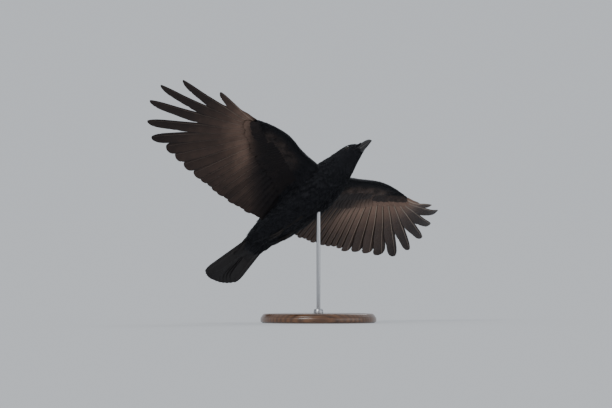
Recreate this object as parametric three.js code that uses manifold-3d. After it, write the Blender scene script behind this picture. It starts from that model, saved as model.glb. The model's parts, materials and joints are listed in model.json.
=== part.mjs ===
// A life-size crow in a banking climb, held by a plain round stand. Units are millimetres, +Z is up and
// the origin is the middle of the stand's underside. The bird is modelled in its own frame, X forward to
// the bill, Y to its left and Z to its back, with the origin midway between the shoulders, and is then
// turned as one into the climb. Wing pieces are made for the right side and mirrored for the left.
import * as THREE from "three";
import { mergeVertices } from "three/addons/utils/BufferGeometryUtils.js";
import Module from "manifold-3d";

const wasm = await Module();
wasm.setup();

// ---- driving dimensions ------------------------------------------------------------------------
const GAP = 0.3; // clear space between neighbouring pieces
const SLIVER = 0.1; // finer than this, what a cut leaves is smoothed away
const deg = THREE.MathUtils.degToRad;

// how the bird flies: the line of its back, and where its shoulders are above the stand
const CLIMB = deg(41.3);
const HEADING = deg(-24.5);
const BANK = deg(25.2);
const SHOULDERS = new THREE.Vector3(17.8, 3.4, 300);

// the body with its coat, from the tail coverts to the face: place along the back, top, bottom, half width
const BODY = [
  [-222, 14, 4, 27],
  [-212, 17.5, -2, 28.8],
  [-190, 24, -11, 34],
  [-160, 30, -22, 39.8],
  [-120, 34, -35, 42.6],
  [-80, 37, -44, 42.6],
  [-40, 37.5, -47, 42],
  [0, 34, -44, 39],
  [20, 31, -39, 34.5],
  [40, 27, -33, 29.5],
  [56, 25, -27, 25.5],
  [68, 23.5, -22.5, 22],
  [78, 21, -19.5, 18.8],
  [85, 18, -18, 16],
  [92, 13, -16, 12.5],
  [98, 7.5, -14, 9.5],
];
const BODY_SIDES = 18;
const SECTION_POWER = 2.15; // 2 is an ellipse, more is squarer
const NECK_BACK = 16; // where the trunk ends and the neck starts
const HEAD_BACK = 56; // where the neck ends and the head starts
const FACE = 98;

// the bill: place along the back, ridge, cutting edge, underside, half width
const BILL = [
  [98, 5.2, -7.6, -14.2, 8],
  [104, 4, -8, -14.5, 6.9],
  [112, 2.2, -8.6, -14.2, 5.4],
  [119, -0.4, -9.4, -13.3, 4],
  [124.5, -3.8, -10.3, -12.2, 2.6],
  [127.6, -7.4, -10.9, -11.5, 1.4],
];
const BILL_TIP = [129, -11.6];
const EYE = { along: 78.5, out: 13.9, up: 6, radius: 5.5 };

// the wing: leading edge and rear edge of the coverts, and the arm's thickness, by distance from the middle
const WING_LEAD = [
  [18, 10], [45, 15], [75, 19], [100, 24.6],
  [128, 33.2], [156, 38.4], [235, 35], [256, 33],
];
const COVERT_EDGE = [
  [18, -112], [40, -96], [66, -70], [100, -55],
  [156, -37], [200, -17], [235, 4], [256, 19],
];
const ARM_DEPTH = [
  [18, 36], [45, 27], [86, 20], [120, 16],
  [156, 15], [200, 11], [235, 8], [256, 6.6],
];
const COVERT_REAR = 3; // half thickness where the coverts end
const ARM_ROOT = 18;
const WRIST = 156;
const HAND_TIP = 256;

// the surface that all the feathers of a wing follow
const WING_CHORD = 190;
const DIHEDRAL = 0.163; // rise for each millimetre outward
const CAMBER = 11;
const TIP_LIFT = 31;
const LEADING_DIP = 19;

// primaries, from the wrist outward: turn from straight back, and length; the hands are spread unequally
const PRIMARY_TURN = {
  right: [29, 36.4, 43, 48.4, 53.8, 60.9, 69, 76.4, 84.5, 96],
  left: [29, 36.4, 43, 49.4, 55.8, 62.7, 69.8, 76.2, 84.4, 91],
};
const PRIMARY_LENGTH = {
  right: [184, 195, 206, 220, 248, 256, 252, 232, 192, 118],
  left: [184, 191, 203, 220, 244, 252, 250, 232, 200, 120],
};
const PRIMARY_FINGER = [0, 0, 0, 0, 0.45, 0.75, 0.9, 1, 1, 1.05]; // how far the outer end narrows
// where and how far the two vanes of a finger narrow
const FRONT_NOTCH = { from: 0.36, to: 0.56, depth: 0.64 };
const REAR_NOTCH = { from: 0.56, to: 0.86, depth: 0.34 };
const FRONT_SHARE = 0.3; // of a feather's width that lies before its quill
const PRIMARY_ROOT = { inner: [12, 162], outer: [24, 235] };
const PRIMARY_WIDE = [33, 26];
const SECONDARIES = 12;
const SECONDARY_TURN = [-5, 25.5];
const SECONDARY_WIDE = 29;
const SECONDARY_LENGTH = { right: [131, 189], left: [130, 185] };
const SECONDARY_ROOT = { inner: [-24, 56], outer: [20, 146] };
const FEATHER_THICK = 0.6;
const SHINGLE = 0.13; // each feather's slope across, front edge high
const ROW_STEP = 0.4; // the arm's row lies this much above the wing surface, and the hand's as much below
const BAND_HALF = 2.5; // half thickness of the strip that holds a row of feathers

// the tail
const RECTRICES = 6; // on each side
const TAIL_ROOT = -168;
const TAIL_LENGTH = [155, 166]; // outermost, middle
const TAIL_TURN = 11.6;
const TAIL_HEIGHT = 10;
const TAIL_YAW = deg(1); // the tail is set a little to the right
const TAIL_STEP = 1.05; // each pair lies this much below the next one inward
const TAIL_SKEW = 3.5; // the right-hand feathers reach this much further, the left-hand ones less
const TAIL_WIDE = 35;

// the stand
const BASE = { radius: 120, height: 20, edge: 3 };
const ROD_RADIUS = 4;
const ROD_TOP = 246;
const ROD_SEAT = 8; // floor of the rod's hole in the base
const COLLAR = { radius: 10, height: 9 };

// ---- materials ---------------------------------------------------------------------------------
function finish(color, roughness, metalness = 0) {
  return new THREE.MeshStandardMaterial({ color, roughness, metalness });
}

const plumage = finish(0x0b0c12, 0.45);
const quill = finish(0x33291f, 0.55);
const horn = finish(0x16171b, 0.35);
const eyeball = finish(0x120c09, 0.05);
const scale = finish(0x131316, 0.5);
const wood = finish(0x5b3a22, 0.45);
const steel = finish(0x8d9094, 0.3, 1);

// ---- mesh tools --------------------------------------------------------------------------------

// a smooth function through rows of [place, value, ...]
function smooth(rows) {
  const curve = new THREE.CubicInterpolant(
    rows.map((row) => row[0]),
    rows.flatMap((row) => row.slice(1)),
    rows[0].length - 1,
  );
  return (place) => Array.from(curve.evaluate(place));
}

// evenly spaced places, both ends included
function spaced(from, to, steps) {
  return Array.from({ length: steps + 1 }, (_, i) => from + ((to - from) * i) / steps);
}

function closed(points, faces) {
  let volume = 0;
  for (const [a, b, c] of faces) {
    volume += points[a].dot(new THREE.Vector3().crossVectors(points[b], points[c]));
  }
  const outward = volume < 0 ? faces.map(([a, b, c]) => [a, c, b]) : faces;
  const geometry = new THREE.BufferGeometry().setFromPoints(points);
  geometry.setIndex(outward.flat());
  return geometry;
}

// a closed body through rings of points, each end closed by a fan
function loft(rings) {
  const sides = rings[0].length;
  const points = rings.flat();
  const faces = [];
  for (let i = 0; i < rings.length - 1; i++) {
    for (let j = 0; j < sides; j++) {
      const a = i * sides + j;
      const b = i * sides + ((j + 1) % sides);
      faces.push([a, b, b + sides], [a, b + sides, a + sides]);
    }
  }
  for (const last of [false, true]) {
    const ring = last ? rings.at(-1) : rings[0];
    const start = last ? (rings.length - 1) * sides : 0;
    const middle = ring.reduce((sum, p) => sum.add(p), new THREE.Vector3()).divideScalar(sides);
    points.push(middle);
    for (let j = 0; j < sides; j++) {
      const a = start + j;
      const b = start + ((j + 1) % sides);
      faces.push(last ? [a, b, points.length - 1] : [b, a, points.length - 1]);
    }
  }
  return closed(points, faces);
}

function solid(geometry) {
  const plain = geometry.clone();
  plain.deleteAttribute("normal");
  plain.deleteAttribute("uv");
  const merged = mergeVertices(plain, 1e-4);
  return new wasm.Manifold(
    new wasm.Mesh({
      numProp: 3,
      vertProperties: new Float32Array(merged.attributes.position.array),
      triVerts: new Uint32Array(merged.index.array),
    }),
  );
}

function shell(body) {
  const { vertProperties, triVerts } = body.simplify(SLIVER).getMesh();
  const geometry = new THREE.BufferGeometry();
  geometry.setAttribute("position", new THREE.BufferAttribute(vertProperties, 3));
  geometry.setIndex(new THREE.BufferAttribute(triVerts, 1));
  return geometry;
}

const join = (bodies) => bodies.reduce((all, body) => all.add(body));

// the same piece on the bird's other side
function mirrored(geometry) {
  const flipped = geometry.clone().scale(1, -1, 1);
  const order = flipped.index.array;
  for (let i = 0; i < order.length; i += 3) {
    [order[i], order[i + 1]] = [order[i + 1], order[i]];
  }
  return flipped;
}

// a round body along a curve, its radius given from 0 to 1 along it
function limb(points, radius, { steps, sides }) {
  const curve = new THREE.CatmullRomCurve3(points);
  const frames = curve.computeFrenetFrames(steps, false);
  const rings = [];
  for (let i = 0; i <= steps; i++) {
    const centre = curve.getPointAt(i / steps);
    const wide = radius(i / steps);
    rings.push(
      Array.from({ length: sides }, (_, j) => {
        const turn = (2 * Math.PI * j) / sides;
        return centre
          .clone()
          .addScaledVector(frames.normals[i], wide * Math.cos(turn))
          .addScaledVector(frames.binormals[i], wide * Math.sin(turn));
      }),
    );
  }
  return loft(rings);
}

// ---- head, neck and trunk: one body, parted by thin cuts -----------------------------------------
const bodyAt = smooth(BODY);

function bodyRing(along, grow = 0) {
  const [top, bottom, half] = bodyAt(along);
  const middle = (top + bottom) / 2;
  const squarer = 2 / SECTION_POWER;
  return Array.from({ length: BODY_SIDES }, (_, j) => {
    const turn = (2 * Math.PI * j) / BODY_SIDES;
    const side = Math.sign(Math.cos(turn)) * Math.abs(Math.cos(turn)) ** squarer;
    const rise = Math.sign(Math.sin(turn)) * Math.abs(Math.sin(turn)) ** squarer;
    return new THREE.Vector3(along, (half + grow) * side, middle + ((top - bottom) / 2 + grow) * rise);
  });
}

const bodyLength = (places, grow) => loft(places.map((along) => bodyRing(along, grow)));
const tailEnd = BODY[0][0];
const trunkPlaces = spaced(tailEnd, NECK_BACK - GAP / 2, 15);
const neckPlaces = spaced(NECK_BACK + GAP / 2, HEAD_BACK - GAP / 2, 5);
const headPlaces = spaced(HEAD_BACK + GAP / 2, FACE, 11);

// what the pieces beside the trunk are cut by
const clearOfTrunk = () => solid(bodyLength([tailEnd - GAP, ...trunkPlaces, ...neckPlaces], GAP));

// ---- bill ----------------------------------------------------------------------------------------
const billAt = smooth(BILL);
const BILL_STEPS = 7;
const BILL_SIDES = 9;

// half a bill: its outer side is a half oval, and the cutting edge is nearly flat
function mandible(upper) {
  const start = FACE + GAP;
  const last = BILL.at(-1)[0];
  const rings = [];
  for (let i = 0; i <= BILL_STEPS; i++) {
    const along = start + ((last - start) * i) / BILL_STEPS;
    const [ridge, edge, under, half] = billAt(along);
    const flat = upper ? edge : edge - GAP;
    const far = upper ? ridge : under;
    rings.push(
      Array.from({ length: BILL_SIDES }, (_, j) => {
        const turn = (Math.PI * j) / (BILL_SIDES - 1);
        const width = half * (upper ? 1 : 0.9);
        return new THREE.Vector3(along, width * Math.cos(turn), flat + (far - flat) * Math.sin(turn) ** 0.85);
      }),
    );
  }
  return rings;
}

function billUpper() {
  const rings = mandible(true);
  const [along, height] = BILL_TIP;
  const shrunk = (p) => new THREE.Vector3(along - 0.2, p.y * 0.3, height + (p.z - height) * 0.3);
  rings.push(rings.at(-1).map(shrunk));
  return loft(rings);
}

// ---- wing surface --------------------------------------------------------------------------------
const leadAt = smooth(WING_LEAD);
const covertAt = smooth(COVERT_EDGE);
const depthAt = smooth(ARM_DEPTH);

// height of the wing over the bird's midplane line, at a place forward and a distance out
function wingHeight(forward, out) {
  const back = (38 - forward) / WING_CHORD;
  const bell = Math.exp(-(((out - 275) / 48) ** 2));
  const front = Math.max(0, 1 - back);
  const rise = 5 + DIHEDRAL * (out - 45);
  const within = Math.min(1, Math.max(0, back));
  const camber = CAMBER * Math.sin(Math.PI * within ** 0.75) * Math.exp(-((out / 330) ** 4));
  const beyond = Math.max(0, (out - 325) / 115);
  const lift = TIP_LIFT * beyond ** 2 * Math.max(0, 1.65 - 1.85 * back);
  return rise + camber + lift - LEADING_DIP * bell * front ** 2;
}

const onWing = (forward, out) => new THREE.Vector3(forward, -out, wingHeight(forward, out));

function wingNormal(forward, out) {
  const step = 2;
  const along = onWing(forward + step, out).sub(onWing(forward - step, out));
  const across = onWing(forward, out - step).sub(onWing(forward, out + step));
  return along.cross(across).normalize();
}

// ---- arm and hand: an aerofoil from the leading edge to the end of the coverts --------------------
const NOSE = 0.26;
const ACROSS = [0, 0.025, 0.09, 0.26, 0.46, 0.72, 1];

function armSection(out, grow) {
  const lead = leadAt(out)[0] + grow;
  const rear = covertAt(out)[0] - grow;
  const half = depthAt(out)[0] / 2;
  const thick = (x) => {
    if (x < NOSE) return half * Math.sqrt(1 - (1 - x / NOSE) ** 2);
    return COVERT_REAR + (half - COVERT_REAR) * (0.5 + 0.5 * Math.cos((Math.PI * (x - NOSE)) / (1 - NOSE)));
  };
  const side = (x, sign) => {
    const forward = lead + (rear - lead) * x;
    const rise = sign * (thick(x) + (x > 0 ? grow : 0));
    return onWing(forward, out).addScaledVector(wingNormal(forward, out), rise);
  };
  return [...ACROSS.map((x) => side(x, 1)).reverse(), ...ACROSS.slice(1).map((x) => side(x, -1))];
}

const arm = (places, grow = 0) => loft(places.map((out) => armSection(out, grow)));
const armPlaces = spaced(ARM_ROOT, WRIST - GAP / 2, 9);
const handPlaces = spaced(WRIST + GAP / 2, HAND_TIP, 6);

// ---- flight feathers -------------------------------------------------------------------------------
const LONG = [0, 0.26, 0.48, 0.66, 0.82, 0.91, 0.97, 1];
const SHORT = [0, 0.45, 0.84, 0.95, 1];

// widths of the two vanes from 0 to 1 along the quill; finger says how far the outer end narrows
function vanes(t, wide, finger) {
  const open = Math.min(1, 0.35 + t / 0.22);
  const rounded = (from) => Math.sqrt(Math.max(0.04, 1 - Math.max(0, (t - from) / (1.005 - from)) ** 2));
  const notched = ({ from, to, depth }) => 1 - depth * finger * THREE.MathUtils.smoothstep(t, from, to);
  const front = wide * FRONT_SHARE * notched(FRONT_NOTCH);
  const back = wide * (1 - FRONT_SHARE) * notched(REAR_NOTCH);
  return [front * open * rounded(0.9), back * open * rounded(0.86 - 0.06 * finger)];
}

// a closed strip from a root outward over the wing surface
function feather({ root, turn, length, wide, stations, lift, finger = 0, start = 0.14, sweep = 0.004 }) {
  const straight = [-Math.cos(turn), Math.sin(turn)];
  const ahead = [Math.sin(turn), Math.cos(turn)];
  const place = (t) => {
    const bow = sweep * length * 4 * t * (1 - t);
    return [0, 1].map((k) => root[k] + straight[k] * length * t + ahead[k] * bow);
  };
  const rings = stations.map((at) => {
    const t = start + (1 - start) * at;
    const [forward, out] = place(t);
    const centre = onWing(forward, out);
    const next = onWing(...place(t + 0.01));
    const last = onWing(...place(t - 0.01));
    const normal = wingNormal(forward, out);
    const inward = new THREE.Vector3().crossVectors(next.sub(last), normal).normalize();
    const [front, back] = vanes(t, wide, finger);
    const high = (SHINGLE * (front + back)) / 2;
    const half = FEATHER_THICK / 2;
    const corner = (across, rise) => {
      return centre.clone().addScaledVector(inward, across).addScaledVector(normal, rise + lift);
    };
    return [
      corner(-front, high + half),
      corner(-front, high - half),
      corner(back, -high - half),
      corner(back, -high + half),
    ];
  });
  return loft(rings);
}

const between = (a, b, t) => a + (b - a) * t;
const rootAt = (row, t) => [0, 1].map((k) => between(row.inner[k], row.outer[k], t));

function primary(i, side) {
  const t = i / (PRIMARY_FINGER.length - 1);
  return feather({
    root: rootAt(PRIMARY_ROOT, t),
    turn: deg(PRIMARY_TURN[side][i]),
    length: PRIMARY_LENGTH[side][i],
    wide: between(...PRIMARY_WIDE, t),
    stations: PRIMARY_FINGER[i] ? LONG : SHORT,
    lift: -ROW_STEP,
    finger: PRIMARY_FINGER[i],
    start: i === PRIMARY_FINGER.length - 1 ? 0.06 : 0.14,
  });
}

function secondary(i, side) {
  const t = i / (SECONDARIES - 1);
  return feather({
    root: rootAt(SECONDARY_ROOT, t),
    turn: deg(between(...SECONDARY_TURN, t)),
    length: between(...SECONDARY_LENGTH[side], t),
    wide: SECONDARY_WIDE,
    stations: SHORT,
    lift: ROW_STEP,
  });
}

// the strip just behind the coverts that holds a row of feathers together
function band(from, to, steps = 5) {
  const rings = [];
  for (let i = 0; i <= steps; i++) {
    const out = between(from, to, i / steps);
    const rear = covertAt(out)[0];
    const corner = (back, rise) => {
      const forward = rear - back;
      return onWing(forward, out).addScaledVector(wingNormal(forward, out), rise);
    };
    rings.push([
      corner(-4, BAND_HALF),
      corner(-4, -BAND_HALF),
      corner(5, -BAND_HALF),
      corner(5, BAND_HALF),
    ]);
  }
  return loft(rings);
}

function flightRow(strips, from, to) {
  const row = join([...strips, band(from, to)].map(solid));
  return row.subtract(solid(arm([...armPlaces, ...handPlaces, HAND_TIP + GAP], GAP)));
}

const wingPieces = {
  arm: () => shell(solid(arm(armPlaces)).subtract(clearOfTrunk())),
  hand: () => arm(handPlaces),
  secondaries: (side) => {
    const strips = Array.from({ length: SECONDARIES }, (_, i) => secondary(i, side));
    return shell(flightRow(strips, 46, 155).subtract(clearOfTrunk()));
  },
  primaries: (side) => shell(flightRow(PRIMARY_FINGER.map((_, i) => primary(i, side)), 184, 255)),
};

// ---- tail ------------------------------------------------------------------------------------------
function rectrix(pair, sign) {
  const outer = pair / (RECTRICES - 1);
  const turn = deg(between(1, TAIL_TURN, outer));
  const length = between(TAIL_LENGTH[1], TAIL_LENGTH[0], outer ** 2) - sign * TAIL_SKEW * outer;
  const rise = TAIL_HEIGHT - TAIL_STEP * pair - (sign < 0 ? TAIL_STEP / 2 : 0);
  const start = 0.26;
  const rings = SHORT.map((at) => {
    const t = start + (1 - start) * at;
    const along = TAIL_ROOT - length * t * Math.cos(turn);
    const side = sign * (1.5 + 1.9 * pair + length * t * Math.sin(turn)) - length * t * Math.sin(TAIL_YAW);
    const tip = Math.sqrt(Math.max(0.03, 1 - Math.max(0, (t - 0.84) / 0.165) ** 2));
    const outside = TAIL_WIDE * between(0.46, 0.3, outer) * tip;
    const inside = TAIL_WIDE * between(0.54, 0.7, outer) * tip;
    const half = FEATHER_THICK / 2;
    return [
      new THREE.Vector3(along, side + sign * outside, rise - half),
      new THREE.Vector3(along, side + sign * outside, rise + half),
      new THREE.Vector3(along, side - sign * inside, rise + half),
      new THREE.Vector3(along, side - sign * inside, rise - half),
    ];
  });
  return loft(rings);
}

function tail() {
  const strips = [];
  for (let pair = 0; pair < RECTRICES; pair++) {
    strips.push(rectrix(pair, 1), rectrix(pair, -1));
  }
  const root = new THREE.BoxGeometry(16, 2 * 19, 9.4);
  root.translate(tailEnd - 2, 0, TAIL_HEIGHT - 3);
  return shell(join([...strips, root].map(solid)).subtract(clearOfTrunk()));
}

// ---- legs, drawn up against the belly ----------------------------------------------------------------
function leg() {
  const side = -12;
  const belly = (along, clear) => new THREE.Vector3(along, side, bodyAt(along)[1] + 4 - clear);
  const foot = belly(-136, 4.5);
  const shank = limb(
    [belly(-84, 1), belly(-100, 5), foot],
    (t) => 5.5 - 2.8 * Math.min(1, t * 2.2),
    { steps: 4, sides: 7 },
  );
  const toe = (spread, length, drop) =>
    limb(
      [
        foot.clone(),
        foot.clone().add(new THREE.Vector3(-length * 0.5, spread * 0.7, 1 - drop)),
        foot.clone().add(new THREE.Vector3(-length, spread, 7 - drop * 0.4)),
      ],
      (t) => 2.6 - 1.7 * t ** 1.5,
      { steps: 3, sides: 5 },
    );
  const toes = [toe(4.6, 33, 0.6), toe(0.4, 38, 2.4), toe(-4.2, 33, 0.6), toe(0, 17, -5)];
  return shell(join([shank, ...toes].map(solid)).subtract(clearOfTrunk()));
}

// ---- the bird ----------------------------------------------------------------------------------------
const bird = new THREE.Group();
bird.rotation.set(-BANK, -CLIMB, HEADING, "ZYX");
bird.position.copy(SHOULDERS);
bird.updateMatrixWorld(true);

function add(group, name, geometry, material) {
  const mesh = new THREE.Mesh(geometry, material);
  mesh.name = name;
  group.add(mesh);
}

const rodShape = (grow) => {
  const top = ROD_TOP + grow;
  return new THREE.CylinderGeometry(ROD_RADIUS + grow, ROD_RADIUS + grow, top - ROD_SEAT - GAP, 16)
    .rotateX(Math.PI / 2)
    .translate(0, 0, (top + ROD_SEAT + GAP) / 2);
};

// the trunk has a socket for the rod
function trunk() {
  const socket = rodShape(GAP).applyMatrix4(bird.matrixWorld.clone().invert());
  return shell(solid(bodyLength(trunkPlaces)).subtract(solid(socket)));
}

function eye(grow = 0) {
  const ball = new THREE.SphereGeometry(EYE.radius + grow, 12, 7);
  return ball.translate(EYE.along, -EYE.out, EYE.up);
}

function head() {
  const whole = solid(bodyLength(headPlaces));
  return shell(whole.subtract(solid(eye(GAP))).subtract(solid(mirrored(eye(GAP)))));
}

add(bird, "trunk", trunk(), plumage);
add(bird, "neck", bodyLength(neckPlaces), plumage);
add(bird, "head", head(), plumage);
add(bird, "bill_upper", billUpper(), horn);
add(bird, "bill_lower", loft(mandible(false)), horn);
add(bird, "tail", tail(), quill);

for (const side of ["right", "left"]) {
  const placed = (geometry) => (side === "right" ? geometry : mirrored(geometry));
  add(bird, `eye_${side}`, placed(eye()), eyeball);
  add(bird, `wing_arm_${side}`, placed(wingPieces.arm()), plumage);
  add(bird, `wing_hand_${side}`, placed(wingPieces.hand()), plumage);
  add(bird, `secondaries_${side}`, placed(wingPieces.secondaries(side)), quill);
  add(bird, `primaries_${side}`, placed(wingPieces.primaries(side)), quill);
  add(bird, `leg_${side}`, placed(leg()), scale);
}

// ---- the stand -----------------------------------------------------------------------------------------
const stand = new THREE.Group();

function lathe(profile, sides = 32) {
  const points = profile.map(([x, y]) => new THREE.Vector2(x, y));
  return new THREE.LatheGeometry(points, sides).rotateX(Math.PI / 2);
}

const bore = ROD_RADIUS + GAP;
const baseProfile = [
  [0, 0],
  [BASE.radius - 1, 0],
  [BASE.radius, 1],
  [BASE.radius, BASE.height - BASE.edge],
  [BASE.radius - BASE.edge, BASE.height],
  [bore, BASE.height],
  [bore, ROD_SEAT],
  [0, ROD_SEAT],
];
const collarProfile = [
  [bore, BASE.height + GAP],
  [COLLAR.radius, BASE.height + GAP],
  [COLLAR.radius, BASE.height + COLLAR.height - 1.5],
  [COLLAR.radius - 1.5, BASE.height + COLLAR.height],
  [bore, BASE.height + COLLAR.height],
  [bore, BASE.height + GAP],
];
add(stand, "stand_base", lathe(baseProfile), wood);
add(stand, "stand_collar", lathe(collarProfile, 16), steel);
add(stand, "stand_rod", rodShape(0), steel);

const crow = new THREE.Group();
crow.add(bird, stand);
export default crow;
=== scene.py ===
# A life-size museum crow in a banking climb, held by a rod on a turned wooden base.
# Lengths of the bird are in millimetres in its own frame, X forward to the bill, Y to its left and Z to its
# back, with the origin midway between the shoulders. Each finished mesh is moved onto the stand, in metres.
import json
import math

import bpy
import numpy as np
from mathutils import Matrix, Vector

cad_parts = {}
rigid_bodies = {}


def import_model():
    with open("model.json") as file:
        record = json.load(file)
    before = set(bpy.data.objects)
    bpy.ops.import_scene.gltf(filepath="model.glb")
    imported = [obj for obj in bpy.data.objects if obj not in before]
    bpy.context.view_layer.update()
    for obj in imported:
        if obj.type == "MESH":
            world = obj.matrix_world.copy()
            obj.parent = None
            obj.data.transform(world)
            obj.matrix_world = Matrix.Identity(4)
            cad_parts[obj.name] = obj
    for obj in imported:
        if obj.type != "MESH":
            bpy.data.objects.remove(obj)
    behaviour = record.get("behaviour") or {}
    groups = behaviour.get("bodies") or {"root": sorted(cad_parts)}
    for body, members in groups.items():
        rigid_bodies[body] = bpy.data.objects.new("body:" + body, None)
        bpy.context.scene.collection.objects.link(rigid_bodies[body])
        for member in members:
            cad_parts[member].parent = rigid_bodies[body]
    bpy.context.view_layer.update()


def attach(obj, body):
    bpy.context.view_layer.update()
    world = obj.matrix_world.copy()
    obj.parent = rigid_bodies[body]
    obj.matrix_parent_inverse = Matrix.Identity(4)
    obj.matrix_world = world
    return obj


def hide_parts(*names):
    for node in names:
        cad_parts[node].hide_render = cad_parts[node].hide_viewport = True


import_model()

MM = 0.001


# ---- the studio ------------------------------------------------------------------------------------
# An even pale surround, a floor of the same tone that fades into it, and three soft lamps. The camera
# stands level with the bird, far off, so the wings keep their true proportions.
SHOULDERS = Vector((17.8, 3.4, 300.0)) * MM
CAMERA_AWAY = 20.0
CAMERA_ASIDE = -0.0435
CAMERA_RAISED = -0.0538
FIELD_WIDE = 1.2668
camera = bpy.data.objects.new("camera", bpy.data.cameras.new("camera"))
camera.location = SHOULDERS + Vector((CAMERA_ASIDE, -CAMERA_AWAY, CAMERA_RAISED))
camera.rotation_euler = (math.radians(90), 0, 0)
camera.data.lens = camera.data.sensor_width * CAMERA_AWAY / FIELD_WIDE
camera.data.clip_end = 10 * CAMERA_AWAY
bpy.context.collection.objects.link(camera)
bpy.context.scene.camera = camera


def material(name, **values):
    """A new material, an adder of nodes to its tree, and its shader with plain values on the sockets."""
    made = bpy.data.materials.new(name)
    made.use_nodes = True
    tree = made.node_tree
    shader = tree.nodes["Principled BSDF"]
    for socket, value in values.items():
        shader.inputs[socket.replace("_", " ")].default_value = value

    def add(kind, inputs=(), **settings):
        node = tree.nodes.new("ShaderNode" + kind)
        for setting, value in settings.items():
            setattr(node, setting, value)
        for socket, value in dict(inputs).items():
            if isinstance(value, bpy.types.NodeSocket):
                tree.links.new(value, node.inputs[socket])
            else:
                node.inputs[socket].default_value = value
        return node

    def drive(socket, value):
        tree.links.new(value, shader.inputs[socket])

    return made, add, drive


SURROUND = (0.60, 0.63, 0.67)
world = bpy.data.worlds.new("studio")
world.use_nodes = True
world.node_tree.nodes["Background"].inputs["Color"].default_value = (*SURROUND, 1)
world.node_tree.nodes["Background"].inputs["Strength"].default_value = 1
bpy.context.scene.world = world

LAMPS = (
    # name, where it shines from, softness in degrees, strength, colour
    ("key_lamp", (-0.55, -1.0, 0.75), 24, 1.9, (1.0, 0.97, 0.93)),
    ("fill_lamp", (1.0, -0.5, 0.08), 60, 0.9, (1.0, 0.98, 0.96)),
    ("rim_lamp", (0.3, 1.0, 1.0), 30, 0.9, (0.93, 0.96, 1.0)),
)
for name, source, softness, strength, colour in LAMPS:
    light = bpy.data.objects.new(name, bpy.data.lights.new(name, "SUN"))
    light.data.angle = math.radians(softness)
    light.data.energy = strength
    light.data.color = colour
    light.rotation_euler = Vector(source).to_track_quat("Z", "Y").to_euler()
    bpy.context.collection.objects.link(light)

# the floor sends back what it gets from the surround and the lamps, and glows enough to match the surround
FLOOR_PALE = 0.3
lamp_share = sum(strength * Vector(source).normalized().z for _, source, _, strength, _ in LAMPS) / math.pi
glow = (*(tone - FLOOR_PALE * (tone + lamp_share) for tone in SURROUND), 1)
floor_paint, _, _ = material(
    "floor_paint",
    Base_Color=(FLOOR_PALE, FLOOR_PALE, FLOOR_PALE, 1),
    Roughness=1,
    Specular_IOR_Level=0,
    Emission_Color=glow,
    Emission_Strength=1,
)
FLOOR_REACH = 120
FLOOR_CORNERS = ((-1, -1), (1, -1), (1, 1), (-1, 1))
floor_mesh = bpy.data.meshes.new("floor")
floor_mesh.from_pydata([(x * FLOOR_REACH, y * FLOOR_REACH, 0) for x, y in FLOOR_CORNERS], [], [(0, 1, 2, 3)])
floor_mesh.materials.append(floor_paint)
floor = bpy.data.objects.new("floor", floor_mesh)
bpy.context.collection.objects.link(floor)


# ---- the stand -------------------------------------------------------------------------------------
# A walnut disc turned on a lathe and lacquered, a turned steel collar, and a brushed steel bar that stands
# in the base and goes up into a socket in the belly.
def piece(name, points, faces, finish):
    """A smooth-shaded object at the origin."""
    mesh = bpy.data.meshes.new(name)
    mesh.from_pydata([tuple(point) for point in points], [], [tuple(face) for face in faces])
    mesh.update()
    mesh.shade_smooth()
    mesh.materials.append(finish)
    made = bpy.data.objects.new(name, mesh)
    bpy.context.collection.objects.link(made)
    return made


def fitted(made, slot, *nodes):
    """The piece rides on the body and stands for the nodes, which it hides; the slot is not used."""
    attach(made, "root")
    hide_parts(*nodes)


def turned(profile, sides):
    """Points and faces of a ring turned about the upright axis from a closed profile of radius and height."""
    turns = np.arange(sides) * (2 * math.pi / sides)
    rings = [[(r * math.cos(a), r * math.sin(a), z) for r, z in profile] for a in turns]
    count = len(profile)
    faces = []
    for i in range(sides):
        for j in range(count):
            here, beside = i * count, ((i + 1) % sides) * count
            up = (j + 1) % count
            faces.append((here + j, beside + j, beside + up, here + up))
    return [point for ring in rings for point in ring], faces


def rounded(corners, steps=4):
    """A closed profile with each (radius, height, rounding) corner softened."""
    outline = []
    for i, (x, y, soft) in enumerate(corners):
        here = np.array((x, y), float)
        before = np.array(corners[i - 1][:2], float)
        after = np.array(corners[(i + 1) % len(corners)][:2], float)
        start = here + (before - here) / np.linalg.norm(before - here) * soft
        end = here + (after - here) / np.linalg.norm(after - here) * soft
        for t in np.linspace(0, 1, steps if soft else 1):
            outline.append((1 - t) ** 2 * start + 2 * t * (1 - t) * here + t**2 * end)
    return [(r * MM, z * MM) for r, z in outline]


def ramp(add, fac, *stops):
    """A colour ramp through stops of position and colour."""
    made = add("ValToRGB", {"Fac": fac})
    elements = made.color_ramp.elements
    for n, (position, colour) in enumerate(stops):
        stop = elements[n] if n < 2 else elements.new(position)
        stop.position = position
        stop.color = (*colour, 1)
    return made.outputs["Color"]


def ranged(add, fac, low, high):
    """A value from 0 to 1 spread between two others."""
    return add("MapRange", {"Value": fac, "To Min": low, "To Max": high}).outputs[0]


def rippled(add, drive, height, strength, distance):
    """Bends the surface's shading by a height."""
    drive("Normal", add("Bump", {"Height": height, "Strength": strength, "Distance": distance}).outputs[0])


BASE_RADIUS = 120
BASE_HIGH = 20
ROD_RADIUS = 4
ROD_TOP = 246
ROD_SEAT = 8
CLEARANCE = 0.3
BORE = ROD_RADIUS + CLEARANCE

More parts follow.
